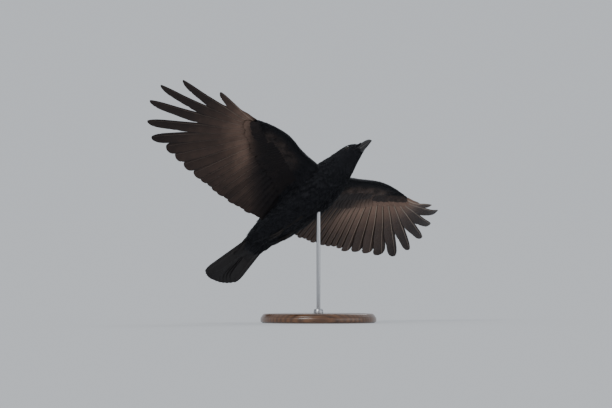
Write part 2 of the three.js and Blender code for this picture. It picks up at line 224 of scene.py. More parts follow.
walnut, add, drive = material("walnut", Roughness=0.3, Coat_Weight=0.35, Coat_Roughness=0.12)
place = add("TexCoord").outputs["Object"]
along_grain = add("Mapping", {"Vector": place, "Scale": (6, 46, 60)}).outputs["Vector"]
figure = add("TexNoise", {"Vector": along_grain, "Scale": 1.3, "Detail": 6, "Distortion": 1.4})
wave = {"Vector": along_grain, "Scale": 0.9, "Distortion": 3.5, "Detail": 3}
rings = add("TexWave", wave, bands_direction="Y")
pore_place = add("Mapping", {"Vector": place, "Scale": (60, 1500, 900)}).outputs["Vector"]
pores = add("TexNoise", {"Vector": pore_place, "Scale": 1}).outputs["Fac"]
both = add("Mix", {0: 0.35, 2: figure.outputs["Fac"], 3: rings.outputs["Fac"]}, data_type="FLOAT")
tone = ramp(add, both.outputs[0], (0.25, (0.050, 0.021, 0.0095)), (0.75, (0.135, 0.062, 0.027)))
dark_pores = ramp(add, pores, (0.34, (0.45, 0.45, 0.45)), (0.42, (1, 1, 1)))
wood_tone = add("Mix", {0: 1.0, 6: tone, 7: dark_pores}, data_type="RGBA", blend_type="MULTIPLY")
drive("Base Color", wood_tone.outputs[2])
rippled(add, drive, pores, 0.12, 0.0004)

base_profile = rounded([
    (BORE, 0.0, 0), (116, 0.0, 1.0), (117, 1.6, 0.6), (BASE_RADIUS, 2.6, 1.2), (BASE_RADIUS, 11.5, 2.4),
    (117.2, 13.2, 1.0), (117.2, 14.6, 0.6), (113.5, 19.2, 2.4), (101, BASE_HIGH, 2), (99.5, 19.1, 0.6),
    (98, BASE_HIGH, 0.6), (BORE, BASE_HIGH, 0.5),
])
base = piece("stand_base_turned", *turned(base_profile, 160), walnut)
fitted(base, "stand_wood", "stand_base")

steel, add, drive = material("brushed_steel", Base_Color=(0.45, 0.46, 0.48, 1), Metallic=1, Roughness=0.32)
place = add("TexCoord").outputs["Object"]
brush_place = add("Mapping", {"Vector": place, "Scale": (60, 60, 9000)}).outputs["Vector"]
brush = add("TexNoise", {"Vector": brush_place, "Scale": 1, "Detail": 3}).outputs["Fac"]
drive("Roughness", ranged(add, brush, 0.24, 0.42))
rippled(add, drive, brush, 0.12, 0.0002)

COLLAR_RADIUS = 10
COLLAR_TOP = BASE_HIGH + 9
COLLAR_FOOT = BASE_HIGH + CLEARANCE
collar_profile = rounded([
    (BORE, COLLAR_FOOT, 0.2), (COLLAR_RADIUS, COLLAR_FOOT, 0.4), (COLLAR_RADIUS, 24.2, 0.4),
    (9.2, 24.6, 0.2), (9.2, 25.4, 0.2), (9.6, 25.8, 0.2), (8.3, COLLAR_TOP, 1.2), (BORE, COLLAR_TOP, 0.5),
])
collar = piece("stand_collar_turned", *turned(collar_profile, 72), steel)
fitted(collar, "stand_steel", "stand_collar")

HAIR = 0.05
ROD_FOOT = ROD_SEAT + CLEARANCE
rod_profile = rounded([
    (HAIR, ROD_FOOT, 0), (ROD_RADIUS, ROD_FOOT, 0.4), (ROD_RADIUS, ROD_TOP, 1.2), (HAIR, ROD_TOP, 0),
])
rod = piece("stand_rod_bar", *turned(rod_profile, 48), steel)
fitted(rod, "stand_steel", "stand_rod")


# ---- the skin --------------------------------------------------------------------------------------
# One skin over the trunk, neck, head and the fleshy part of both wings, as deep under the feather tips as
# the coat is thick. It is black, finely pimpled where the quills grow, and carries the coat's markings.
CLIMB = math.radians(41.3)
HEADING = math.radians(-24.5)
BANK = math.radians(25.2)
BIRD = (
    Matrix.Translation(SHOULDERS)
    @ Matrix.Rotation(HEADING, 4, "Z")
    @ Matrix.Rotation(-CLIMB, 4, "Y")
    @ Matrix.Rotation(-BANK, 4, "X")
    @ Matrix.Scale(MM, 4)
)


def on_bird(made, slot, *nodes):
    """Moves a piece from the bird's frame onto the stand and fits it there."""
    made.data.transform(BIRD)
    fitted(made, slot, *nodes)


# the body with its coat: place along the back, top, bottom, half width
BODY = (
    (-222, 14, 4, 27), (-212, 17.5, -2, 28.8), (-190, 24, -11, 34), (-160, 30, -22, 39.8),
    (-120, 34, -35, 42.6), (-80, 37, -44, 42.6), (-40, 37.5, -47, 42), (0, 34, -44, 39),
    (20, 31, -39, 34.5), (40, 27, -33, 29.5), (56, 25, -27, 25.5), (68, 23.5, -22.5, 22),
    (78, 21, -19.5, 18.8), (85, 18, -18, 16), (92, 13, -16, 12.5), (98, 7.5, -14, 9.5),
)
SECTION_POWER = 2.15

# the wing with its coat, by distance from the middle: leading edge, rear of the coverts, arm thickness
WING_LEAD = ((18, 10), (45, 15), (75, 19), (100, 24.6), (128, 33.2), (156, 38.4), (235, 35), (256, 33))
COVERT_EDGE = ((18, -112), (40, -96), (66, -70), (100, -55), (156, -37), (200, -17), (235, 4), (256, 19))
ARM_DEPTH = ((18, 36), (45, 27), (86, 20), (120, 16), (156, 15), (200, 11), (235, 8), (256, 6.6))
ARM_ENDS = (18, 256)
COVERT_REAR = 3
NOSE = 0.26


def smooth(rows):
    """A curve through rows of (place, value, ...); its slope at a row is the mean of the slopes beside it."""
    table = np.array(rows, float)
    places, values = table[:, 0], table[:, 1:]
    secants = np.diff(values, axis=0) / np.diff(places)[:, None]
    slopes = np.vstack([secants[:1], (secants[1:] + secants[:-1]) / 2, secants[-1:]])

    def at(place):
        place = np.clip(np.asarray(place, float), places[0], places[-1])
        row = np.clip(np.searchsorted(places, place, side="right") - 1, 0, len(places) - 2)
        gap = (places[row + 1] - places[row])[..., None]
        t = (place - places[row])[..., None] / gap
        ends = (2 * t**3 - 3 * t**2 + 1) * values[row] + (3 * t**2 - 2 * t**3) * values[row + 1]
        bends = (t**3 - 2 * t**2 + t) * slopes[row] + (t**3 - t**2) * slopes[row + 1]
        found = ends + bends * gap
        return found[..., 0] if values.shape[1] == 1 else found

    return at


body_at = smooth(BODY)
lead_at = smooth(WING_LEAD)
covert_at = smooth(COVERT_EDGE)
depth_at = smooth(ARM_DEPTH)
coat_depth = smooth(((-222, 2.4), (-160, 3.2), (0, 3.2), (30, 2.6), (56, 1.6), (76, 1.0), (98, 0.7)))

WING_CHORD = 190
DIHEDRAL = 0.163
CAMBER = 11
TIP_LIFT = 31
LEADING_DIP = 19


def wing_height(forward, out):
    """Height of the surface that the wing's feathers follow."""
    back = (38 - forward) / WING_CHORD
    bell = np.exp(-(((out - 275) / 48) ** 2))
    rise = 5 + DIHEDRAL * (out - 45)
    camber = CAMBER * np.sin(math.pi * np.clip(back, 0, 1) ** 0.75) * np.exp(-((out / 330) ** 4))
    beyond = np.maximum(0, (out - 325) / 115)
    lift = TIP_LIFT * beyond**2 * np.maximum(0, 1.65 - 1.85 * back)
    return rise + camber + lift - LEADING_DIP * bell * np.maximum(0, 1 - back) ** 2


def on_wing(forward, out):
    """The place on that surface of the bird's right wing."""
    forward, out = np.broadcast_arrays(np.asarray(forward, float), np.asarray(out, float))
    return np.stack([forward, -out, wing_height(forward, out)], -1)


def unit(vectors):
    """The same directions, each 1 long."""
    return vectors / np.maximum(np.linalg.norm(vectors, axis=-1, keepdims=True), 1e-9)


def wing_normal(forward, out):
    """The way up from that surface."""
    step = 2
    along = on_wing(forward + step, out) - on_wing(forward - step, out)
    across = on_wing(forward, out - step) - on_wing(forward, out + step)
    return unit(np.cross(along, across))


def arm_half(forward, out):
    """Half the thickness of the feathered arm, and how far behind its leading edge a place is, up to 1."""
    lead, rear = lead_at(out), covert_at(out)
    back = (lead - forward) / (lead - rear)
    half = depth_at(out) / 2
    nose = half * np.sqrt(np.maximum(0, 1 - (1 - np.minimum(back, NOSE) / NOSE) ** 2))
    behind = np.clip((back - NOSE) / (1 - NOSE), 0, 1)
    body = COVERT_REAR + (half - COVERT_REAR) * (0.5 + 0.5 * np.cos(math.pi * behind))
    return np.where(back < NOSE, nose, body), back


def tube_faces(rings, sides):
    """Faces of a closed loft through rings of points; the middles of its two ends follow the rings."""
    faces = []
    for i in range(rings - 1):
        for j in range(sides):
            here, beside = i * sides + j, i * sides + (j + 1) % sides
            faces.append((here, beside, beside + sides, here + sides))
    last = (rings - 1) * sides
    middle = rings * sides
    for j in range(sides):
        faces.append(((j + 1) % sides, j, middle))
        faces.append((last + j, last + (j + 1) % sides, middle + 1))
    return faces


def inside_out(points, faces):
    """Whether the faces of a closed body look inward, told by the sign of the volume they enclose."""
    middle = points.mean(0)
    volume = 0.0
    for face in faces:
        ring = points[list(face)] - middle
        for k in range(1, len(ring) - 1):
            volume += np.dot(ring[0], np.cross(ring[k], ring[k + 1]))
    return volume < 0


def loft(rings):
    """Points and outward faces of a closed body through rings, as an array of rings by sides by 3."""
    rings = np.asarray(rings, float)
    count, sides = rings.shape[:2]
    points = np.vstack([rings.reshape(-1, 3), rings[0].mean(0), rings[-1].mean(0)])
    faces = tube_faces(count, sides)
    if inside_out(points, faces):
        faces = [face[::-1] for face in faces]
    return points, faces


def together(parts):
    """Several (points, faces) as one."""
    points, faces, first = [], [], 0
    for some_points, some_faces in parts:
        points.append(some_points)
        faces += [tuple(corner + first for corner in face) for face in some_faces]
        first += len(some_points)
    return np.vstack(points), faces


def mirrored(part):
    """The same part on the bird's other side."""
    points, faces = part
    return np.asarray(points) * (1, -1, 1), [tuple(face[::-1]) for face in faces]


def body_section(along, shrink=1.0, sides=72):
    """A ring round the flesh of the body at a place along it."""
    top, bottom, half = body_at(along)
    under = coat_depth(along)
    turns = np.arange(sides) * (2 * math.pi / sides)
    squarer = 2 / SECTION_POWER
    side = np.sign(np.cos(turns)) * np.abs(np.cos(turns)) ** squarer
    rise = np.sign(np.sin(turns)) * np.abs(np.sin(turns)) ** squarer
    wide, high = (half - under) * shrink, ((top - bottom) / 2 - under) * shrink
    return np.stack([np.full(sides, along), wide * side, (top + bottom) / 2 + high * rise], -1)


ARM_COAT = 1.9
THINNEST = 1.3
QUILLS_BARE = 12


def arm_section(out):
    """A ring round the arm's flesh, from the leading edge to where the quills leave it."""
    lead = lead_at(out) - ARM_COAT
    rear = covert_at(out) + QUILLS_BARE
    back = (1 - np.cos(np.linspace(0, math.pi, 24))) / 2
    forward = lead + (rear - lead) * back
    half = np.maximum(THINNEST, arm_half(forward, out)[0] - ARM_COAT)
    half[0] = 0
    half[-1] = 0
    centre, normal = on_wing(forward, out), wing_normal(forward, out)
    upper = centre + normal * half[:, None]
    lower = centre - normal * half[:, None]
    return np.vstack([upper, lower[1:-1][::-1]])


RUMP = -214
FACE = 98
SKIN_PITCH = 1.5
rump_end = [body_section(RUMP - ahead, shrink) for ahead, shrink in ((7, 0.25), (6, 0.6), (3.5, 0.88))]
trunk_flesh = loft(rump_end + [body_section(along) for along in np.linspace(RUMP, FACE - 0.5, 140)])
arm_flesh = loft([arm_section(out) for out in np.linspace(22, 247, 60)])


def carried(add, attribute):
    """The value that a mesh carries under a name."""
    return add("Attribute", attribute_name=attribute).outputs["Fac"]


skin_black, add, drive = material("bird_skin", Roughness=0.6, Specular_IOR_Level=0.3)
brown = carried(add, "brown")
spots = add("TexVoronoi", {"Vector": add("TexCoord").outputs["Object"], "Scale": 900})
skin_tone = add("Mix", {0: brown, 6: (0.006, 0.006, 0.008, 1), 7: (0.045, 0.036, 0.03, 1)}, data_type="RGBA")
drive("Base Color", skin_tone.outputs[2])
rippled(add, drive, spots.outputs["Distance"], 0.5, 0.0004)


def baked_down(holder):
    """The object's mesh with its modifiers applied; the object itself is removed."""
    bpy.context.view_layer.update()
    graph = bpy.context.evaluated_depsgraph_get()
    mesh = bpy.data.meshes.new_from_object(holder.evaluated_get(graph), depsgraph=graph)
    bpy.data.objects.remove(holder)
    return mesh


flesh = piece("flesh", *together([trunk_flesh, arm_flesh, mirrored(arm_flesh)]), skin_black)
knit = flesh.modifiers.new("knit", "REMESH")
knit.mode = "VOXEL"
knit.voxel_size = SKIN_PITCH
ease = flesh.modifiers.new("ease", "SMOOTH")
ease.factor = 0.5
ease.iterations = 6
skin_mesh = baked_down(flesh)


def as_vectors(items, field):
    """A vector that each item of a mesh has, as rows of three."""
    found = np.empty(len(items) * 3, np.float32)
    items.foreach_get(field, found)
    return found.reshape(-1, 3).astype(float)


# the eye sits in a socket, ringed by a bare lid
EYE = np.array((78.5, -13.9, 6.0))
EYE_RADIUS = 5.5
LID_RADIUS = 4.75
EYE_LOOK = unit(np.array((0.30, -1.0, 0.10)))


def beside_eye(points, sign):
    """How far points are from an eye's axis, and along it from the eyeball's middle."""
    centre, look = EYE * (1, sign, 1), EYE_LOOK * (1, sign, 1)
    offset = points - centre
    along = offset @ look
    return np.linalg.norm(offset - along[:, None] * look, axis=1), along, look


SOCKET_RADIUS = 6.6
skin_points = as_vectors(skin_mesh.vertices, "co")
for sign in (1, -1):
    off_axis, along_axis, look = beside_eye(skin_points, sign)
    sunk = np.clip((SOCKET_RADIUS - off_axis) / 2.0, 0, 1)
    in_front = (along_axis > 0) & (along_axis < 14)
    floor_of_socket = np.where(in_front, np.maximum(along_axis - 1.0, 0) * 0.9, 0)
    skin_points -= look * (floor_of_socket * sunk)[:, None]
skin_mesh.vertices.foreach_set("co", skin_points.astype(np.float32).ravel())
skin_mesh.update()


def body_reach(points):
    """How far out of the body's middle line points are: 1 on the coat, less inside it."""
    top, bottom, half = np.moveaxis(body_at(points[:, 0]), -1, 0)
    side = np.abs(points[:, 1]) / half
    rise = np.abs(points[:, 2] - (top + bottom) / 2) / ((top - bottom) / 2)
    return (side**SECTION_POWER + rise**SECTION_POWER) ** (1 / SECTION_POWER)


def step_up(value, low, high):
    """A soft step from 0 at the low value to 1 at the high one."""
    t = np.clip((value - low) / (high - low), 0, 1)
    return t * t * (3 - 2 * t)


def brown_at(points, normals):
    """The markings: black above, and patched with brown under the arm between the body and the wrist; the
    left wing is given more brown than the right, as painted light where it was lit more.
    """
    out = np.abs(points[:, 1])
    _, back = arm_half(points[:, 0], np.clip(out, *ARM_ENDS))
    below = step_up(-normals[:, 2], -0.2, 0.4)
    on_arm = step_up(body_reach(points), 1.05, 1.5) * step_up(out, 60, 110) * (1 - step_up(out, 170, 215))
    patched = 0.6 + 0.4 * np.sin(points[:, 0] / 5.0 + 1.3) * np.sin(out / 6.5 + points[:, 0] / 11)
    # painted side light: more brown on the lit left wing, less on the right
    side_light_share = np.where(points[:, 1] > 0, 1.3, 0.5)
    return below * on_arm * patched * side_light_share * step_up(back, 0.08, 0.30) * (1 - 0.6 * step_up(back, 0.6, 0.8))


def vertex_values(mesh, name, values):
    """Writes one number, or one vector, for each vertex."""
    values = np.asarray(values, np.float32)
    kind = "FLOAT" if values.ndim == 1 else "FLOAT_VECTOR"
    layer = mesh.attributes.get(name) or mesh.attributes.new(name, kind, "POINT")
    layer.data.foreach_set("value" if values.ndim == 1 else "vector", values.ravel())


skin_normals = as_vectors(skin_mesh.vertex_normals, "vector")
vertex_values(skin_mesh, "brown", brown_at(skin_points, skin_normals))
skin = bpy.data.objects.new("skin", skin_mesh.copy())
skin.data.materials.clear()
skin.data.materials.append(skin_black)
skin.data.shade_smooth()
bpy.context.collection.objects.link(skin)
on_bird(
    skin, "plumage", "trunk", "neck", "head",
    "wing_arm_right", "wing_arm_left", "wing_hand_right", "wing_hand_left",
)


# ---- the eyes --------------------------------------------------------------------------------------
# Each eye is a glass ball with a bulging front, a black pupil and a very dark brown iris, set in its socket
# behind a narrow ring of bare black lid.
glass, add, drive = material("eye_glass", Roughness=0.05, Specular_IOR_Level=0.3)
iris = ramp(
    add, carried(add, "iris"), (0.40, (0.001, 0.001, 0.001)), (0.46, (0.0085, 0.0045, 0.0030)),
    (0.86, (0.0050, 0.0028, 0.0020)), (0.95, (0.002, 0.002, 0.002)),
)
drive("Base Color", iris)

lid_skin, add, drive = material(
    "lid_skin", Base_Color=(0.006, 0.006, 0.0065, 1), Roughness=0.55, Specular_IOR_Level=0.3,
)
folds = add("TexNoise", {"Vector": add("TexCoord").outputs["Object"], "Scale": 1400, "Detail": 2})
rippled(add, drive, folds.outputs["Fac"], 0.5, 0.0002)

EYE_SIDE = unit(np.cross(EYE_LOOK, (0, 0, 1.0)))
EYE_UP = np.cross(EYE_SIDE, EYE_LOOK)
# how far each lid stands from the eye's axis and forward of the ball's middle, its thickness, its flatness
LIDS = ((4.95, 2.75, 0.55, 0.8), (5.65, 2.35, 0.5, 0.5))
SIDES = (("right", False), ("left", True))


def eye_ball():
    """A ball round the look direction, its front a little bulged, with the place across the iris."""
    rings, iris_place = [], []
    turns = np.linspace(0, 2 * math.pi, 48, endpoint=False)
    spokes = np.cos(turns)[:, None] * EYE_SIDE + np.sin(turns)[:, None] * EYE_UP
    for angle in np.linspace(0.03, math.pi - 0.03, 40):
        bulge = 0.7 * math.exp(-((angle / 0.62) ** 4))
        radius, ahead = EYE_RADIUS * math.sin(angle), EYE_RADIUS * math.cos(angle) + bulge
        rings.append(EYE + EYE_LOOK * ahead + spokes * radius)
        iris_place.append(np.full(len(turns), min(1, radius / LID_RADIUS) if ahead > 0 else 1))
    points, faces = loft(rings)
    return points, faces, np.append(np.ravel(iris_place), (0, 1))


def ring_round_eye(radius, ahead, thick, squash, sides=56, around=14):
    """A lid: a ring of round section, flattened along the look direction."""
    points, faces = [], []
    for i, a in enumerate(np.linspace(0, 2 * math.pi, sides, endpoint=False)):
        spoke = math.cos(a) * EYE_SIDE + math.sin(a) * EYE_UP
        for j, b in enumerate(np.linspace(0, 2 * math.pi, around, endpoint=False)):
            bead = 1 + 0.10 * math.sin(a * 17) + 0.07 * math.sin(a * 41)
            points.append(
                EYE + EYE_LOOK * (ahead + thick * squash * math.sin(b) * bead)
                + spoke * (radius + thick * math.cos(b))
            )
            here, beside = i * around, ((i + 1) % sides) * around
            faces.append((here + j, beside + j, beside + (j + 1) % around, here + (j + 1) % around))
    return np.array(points), faces


for name, flip in SIDES:
    points, faces, iris_place = eye_ball()
    lids = together([ring_round_eye(*shape) for shape in LIDS])
    if flip:
        points, faces = mirrored((points, faces))
        lids = mirrored(lids)
    ball = piece(f"eyeball_{name}", points, faces, glass)
    vertex_values(ball.data, "iris", iris_place)
    on_bird(ball, "eye", f"eye_{name}")
    on_bird(piece(f"eyelid_{name}", *lids, lid_skin), "plumage", f"eye_{name}")


# ---- the bill --------------------------------------------------------------------------------------
# Two sheaths of black horn. The upper has a rounded ridge that curves down to a short hook over the lower,
# and sharp cutting edges; the lower is a keeled trough. The bristles hide the place of the nostrils.
BILL = (
    # along, ridge, cutting edge, underside, half width
    (92, 8.2, -6.8, -13.4, 8.6), (98, 5.2, -7.6, -14.2, 8), (104, 4, -8, -14.5, 6.9),
    (112, 2.2, -8.6, -14.2, 5.4), (119, -0.4, -9.4, -13.3, 4), (124.5, -3.8, -10.3, -12.2, 2.6),
    (127.6, -7.4, -10.9, -11.5, 1.4),
)
BILL_START = 92.5
bill_at = smooth(BILL)

horn, add, drive = material("horn", Specular_IOR_Level=0.42)
place = add("TexCoord").outputs["Object"]
wear = add("TexNoise", {"Vector": place, "Scale": 260, "Detail": 5, "Roughness": 0.6}).outputs["Fac"]
drive("Base Color", ramp(add, wear, (0, (0.0055, 0.0056, 0.0062)), (1, (0.022, 0.0225, 0.0245))))
drive("Roughness", ranged(add, wear, 0.26, 0.5))
grain = add("TexNoise", {"Vector": place, "Scale": 1500, "Detail": 2})
rippled(add, drive, grain.outputs["Fac"], 0.25, 0.0002)


def through(points, count):
    """Evenly spaced places on a smooth curve through a few points."""
    points = np.asarray(points, float)
    rows = np.column_stack([np.arange(len(points)), points])
    return smooth(rows)(np.linspace(0, len(points) - 1, count))


def limb(points, radius, steps, sides):
    """Rings of a round body along a curve, its radius given from 0 to 1 along it."""
    line = through(points, steps)
    tangent = unit(np.gradient(line, axis=0))
    side = unit(np.cross(tangent, (0, 0, 1.0)))
    up = np.cross(side, tangent)
    turns = np.linspace(0, 2 * math.pi, sides, endpoint=False)
    wide = np.array([radius(t) for t in np.linspace(0, 1, steps)])
    spokes = np.cos(turns)[:, None] * side[:, None] + np.sin(turns)[:, None] * up[:, None]
    return line[:, None] + spokes * wide[:, None, None]


def bill_half(upper, steps=44, sides=30):
    """Rings of one sheath: an outer arch, and a shallow palate between two cutting edges."""
    last = BILL[-1][0]
    rings = []
    for along in BILL_START + (last - BILL_START) * np.linspace(0, 1, steps) ** 0.9:
        ridge, cut, under, half = bill_at(along)
        edge = cut if upper else cut - 0.35
        far = ridge if upper else under
        wide = half * (1 if upper else 0.9)
        arch = np.linspace(0, math.pi, sides)
        side = np.cos(arch)
        rise = np.sin(arch) ** (0.8 if upper else 0.95)
        keel = 1 + 0.10 * np.exp(-((arch - math.pi / 2) / 0.34) ** 2)
        outer = np.stack([wide * side, edge + (far - edge) * rise * keel / 1.10], -1)
        inner_side = np.linspace(-0.86, 0.86, 9)
        hollow = (0.9 if upper else -0.9) * (1 - inner_side**2) * min(1, (last + 1 - along) / 20)
        inner = np.stack([wide * inner_side, edge + 0.25 * (1 if upper else -1) + hollow * 0.6], -1)
        section = np.vstack([outer, inner])
        rings.append(np.column_stack([np.full(len(section), along), section]))
    return rings


def hooked(rings):
    """Closes the upper sheath's rings down to the hook."""
    last = rings[-1]
    for shrink, ahead, drop in ((0.72, 0.75, -0.9), (0.4, 1.2, -1.5), (0.12, 1.4, -1.9)):
        centre = last.mean(0)
        ring = centre + (last - centre) * shrink
        ring[:, 0] = last[0, 0] + ahead
        ring[:, 2] = ring[:, 2] + drop * 0.9
        rings.append(ring)
    return rings


on_bird(piece("bill_upper_sheath", *loft(hooked(bill_half(True))), horn), "horn", "bill_upper")
on_bird(piece("bill_lower_sheath", *loft(bill_half(False)), horn), "horn", "bill_lower")

# the fleshy fold at the corner of the mouth
FOLD_LINE = (
    (97, -9.0, -7.4), (94.5, -10.7, -7.4), (91.5, -12.2, -7.6), (88.5, -13.5, -8.0), (85.5, -14.4, -8.6),
)
fold = loft(limb(FOLD_LINE, lambda t: 0.2 + 0.38 * math.sin(math.pi * min(1, 0.12 + t)) ** 0.7, 30, 12))
on_bird(piece("gape_fold", *together([fold, mirrored(fold)]), lid_skin), "plumage", "head")


# ---- the legs --------------------------------------------------------------------------------------
# Scaled black shanks drawn up against the belly, with three toes forward and one behind, each of short
# swollen joints with plated tops, and with a curved claw.
scaly, add, drive = material(
    "leg_scale", Base_Color=(0.0105, 0.0085, 0.0078, 1), Roughness=0.55, Specular_IOR_Level=0.22,
)
place = add("TexCoord").outputs["Object"]
plates = add("TexVoronoi", {"Vector": place, "Scale": 520}, feature="DISTANCE_TO_EDGE")
rippled(add, drive, plates.outputs["Distance"], 0.6, 0.0004)

FOOT_ALONG = -136
LEG_SIDE = -12
LEG_SUNK = 6.2
# how far each toe spreads, its length, how far it drops, and its joints; the last is the hind toe
TOES = ((4.6, 33, 0.6, 3), (0.4, 38, 2.4, 4), (-4.2, 33, 0.6, 3), (0, 20, -4.5, 2))


def plated(t, count, depth):
    """The saw-toothed swell of overlapping plates."""
    return 1 + depth * (1 - (t * count) % 1)


def belly(along, clear):
    """A place on the right leg's line, which is sunk into the coat of the belly and held clear of it."""
    return np.array((along, LEG_SIDE, body_at(along)[1] + LEG_SUNK - clear))


def toe(foot, spread, length, drop, joints):
    """A toe with swollen joints, from the foot to a curved claw."""
    def thickness(t):
        knuckle = 1 + 0.22 * math.cos(2 * math.pi * (t * joints)) ** 2
        return (2.1 - 0.75 * t) * knuckle * plated(t, 11, 0.1) * min(1, 0.5 + 4 * (1 - t))

    tip = foot + (-length * 0.86, spread * 0.95, 6 - drop * 0.6)
    line = [
        foot + (1.5, 0, 0.4), foot + (-length * 0.2, spread * 0.3, -0.4 - drop * 0.3),
        foot + (-length * 0.5, spread * 0.7, 1 - drop), tip,
    ]
    claw_line = [tip + (1.2, 0, -0.8), tip + (-2.4, 0, -0.5), tip + (-5.0, 0, 1.4), tip + (-6.2, 0, 4.2)]
    claw = limb(claw_line, lambda t: max(0.12, 1.35 * (1 - t) ** 0.8), 18, 12)
    return together([loft(limb(line, thickness, 60, 14)), loft(claw)])


def leg():
    """The right leg: a plated shank along the belly, and the toes."""
    foot = belly(FOOT_ALONG, 4.5)
    shank = limb(
        [belly(-84, 0), belly(-100, 2.4), belly(-118, 2.8), foot + (-1, 0, 0)],
        lambda t: (4.6 - 2.2 * min(1, t * 2.2)) * plated(t, 15, 0.12), 90, 16,
    )
    return together([loft(shank), *[toe(foot, *shape) for shape in TOES]])


for name, flip in SIDES:
    part = mirrored(leg()) if flip else leg()
    on_bird(piece(f"scaled_leg_{name}", *part, scaly), "leg_scale", f"leg_{name}")


# ---- the flight feathers ---------------------------------------------------------------------------
# Ten primaries on each hand, twelve secondaries on each arm and twelve tail feathers. Each is a horny shaft
# with a narrow front vane and a wide rear one, glossy blue-black above and paler brown-grey below.
PRIMARY_TURN = {
    "right": (29, 36.4, 43, 48.4, 53.8, 60.9, 69, 76.4, 84.5, 96),
    "left": (29, 36.4, 43, 49.4, 55.8, 62.7, 69.8, 76.2, 84.4, 91),
}
PRIMARY_LENGTH = {
    "right": (184, 195, 206, 220, 248, 256, 252, 232, 192, 118),
    "left": (184, 191, 203, 220, 244, 252, 250, 232, 200, 120),
}
PRIMARY_FINGER = (0, 0, 0, 0, 0.45, 0.75, 0.9, 1, 1, 1.05)
FRONT_NOTCH = (0.36, 0.56, 0.64)
REAR_NOTCH = (0.56, 0.86, 0.34)
FRONT_SHARE = 0.3
PRIMARY_ROOT = ((12, 162), (24, 235))
PRIMARY_WIDE = (33, 26)
SECONDARIES = 12
SECONDARY_TURN = (-5, 25.5)
SECONDARY_LENGTH = {"right": (131, 189), "left": (130, 185)}
SECONDARY_ROOT = ((-24, 56), (20, 146))
SECONDARY_WIDE = 29
SHINGLE = 0.075
VANE_THICK = 0.16
BARB_PITCH = 0.85


def feather_material(name, above, below, shaft_tone):
    """Barbed vane: a glossy dark top, an underside toned by how pale its place is, including the painted
    light and shade under the wing, and a horny shaft.
    """
    made, add, drive = material(
        name, Specular_IOR_Level=0.20, Specular_Tint=(0.95, 0.92, 1.0, 1), Sheen_Weight=0.02,
        Sheen_Roughness=0.4,
    )
    place = add("TexCoord").outputs["Object"]
    under, shade, barb = (carried(add, attribute) for attribute in ("under", "shade", "barb"))
    cloudy = add("TexNoise", {"Vector": place, "Scale": 60, "Detail": 5}).outputs["Fac"]
    streaks = add("TexNoise", {"W": barb, "Scale": 1.6, "Detail": 3}, noise_dimensions="1D").outputs["Fac"]
    clouded = ranged(add, cloudy, -0.12, 0.12)
    pale = add("Math", {0: carried(add, "pale"), 1: clouded}, operation="ADD").outputs[0]
    sides = add("Mix", {0: under, 6: above, 7: ramp(add, pale, *below)}, data_type="RGBA")
    # the pale shafts show most where the wing is painted palest, in the painted glow
    on_shaft = add("Math", {0: carried(add, "shaft"), 1: pale}, operation="MULTIPLY")
    with_shaft = add("Math", {0: on_shaft.outputs[0], 1: under}, operation="MULTIPLY", use_clamp=True)
    tone = add("Mix", {0: with_shaft.outputs[0], 6: sides.outputs[2], 7: shaft_tone}, data_type="RGBA")
    per_feather, per_barb = ranged(add, shade, 0.84, 1.16), ranged(add, streaks, 0.72, 1.28)
    unlike = add("Math", {0: per_feather, 1: per_barb}, operation="MULTIPLY")
    varied = add("HueSaturation", {"Color": tone.outputs[2], "Value": unlike.outputs[0]})
    drive("Base Color", varied.outputs["Color"])
    turns = add("Math", {0: barb, 1: 2 * math.pi / BARB_PITCH}, operation="MULTIPLY")
    barbs = add("Math", {0: turns.outputs[0]}, operation="SINE")
    rippled(add, drive, barbs.outputs[0], 0.25, 0.0002)
    rough = add("Mix", {0: under, 2: 0.36, 3: 0.6}, data_type="FLOAT")
    uneven = add("Math", {0: rough.outputs[0], 1: ranged(add, cloudy, -0.08, 0.08)}, operation="ADD")
    drive("Roughness", uneven.outputs[0])
    return made


GLOSS_BLACK = (0.0075, 0.0080, 0.0110, 1)
# the underside's tones by paleness: the dark end serves the dark coverts and the painted shadow of the body,
# the pale end the paler feather bases and the painted glow of light through them
UNDER_WING = (
    (0.0, (0.0060, 0.0050, 0.0052)), (1.0, (0.215, 0.136, 0.100)), (0.30, (0.022, 0.0152, 0.0128)),
    (0.55, (0.056, 0.036, 0.0280)),
)
UNDER_TAIL = ((0.0, (0.008, 0.0075, 0.0075)), (1.0, (0.026, 0.023, 0.022)))
flight_vane = feather_material("flight_vane", GLOSS_BLACK, UNDER_WING, (0.32, 0.25, 0.20, 1))
tail_vane = feather_material("tail_vane", GLOSS_BLACK, UNDER_TAIL, (0.05, 0.045, 0.04, 1))

# painted light and shade under the wings: the left wing is painted paler than the right, as painted light
# where it was lit more; the feathers near the body are darkened by a painted shadow of the body, less on the
# left; a painted glow of light through the feathers starts behind the wrist; and the left wing's pale shafts
# are painted brighter
PAINTED_SIDE_LIGHT = {"right": 1.0, "left": 1.2}
BODY_PAINTED_SHADE = {"right": 0.94, "left": 0.50}
PAINTED_SHADE_OUT_TO = {"right": 201, "left": 190}
PAINTED_GLOW_FROM = {"right": (128, 182), "left": (110, 168)}
SHAFT_SHOW_AND_SIDE_LIGHT = {"right": 0.42, "left": 1.7}


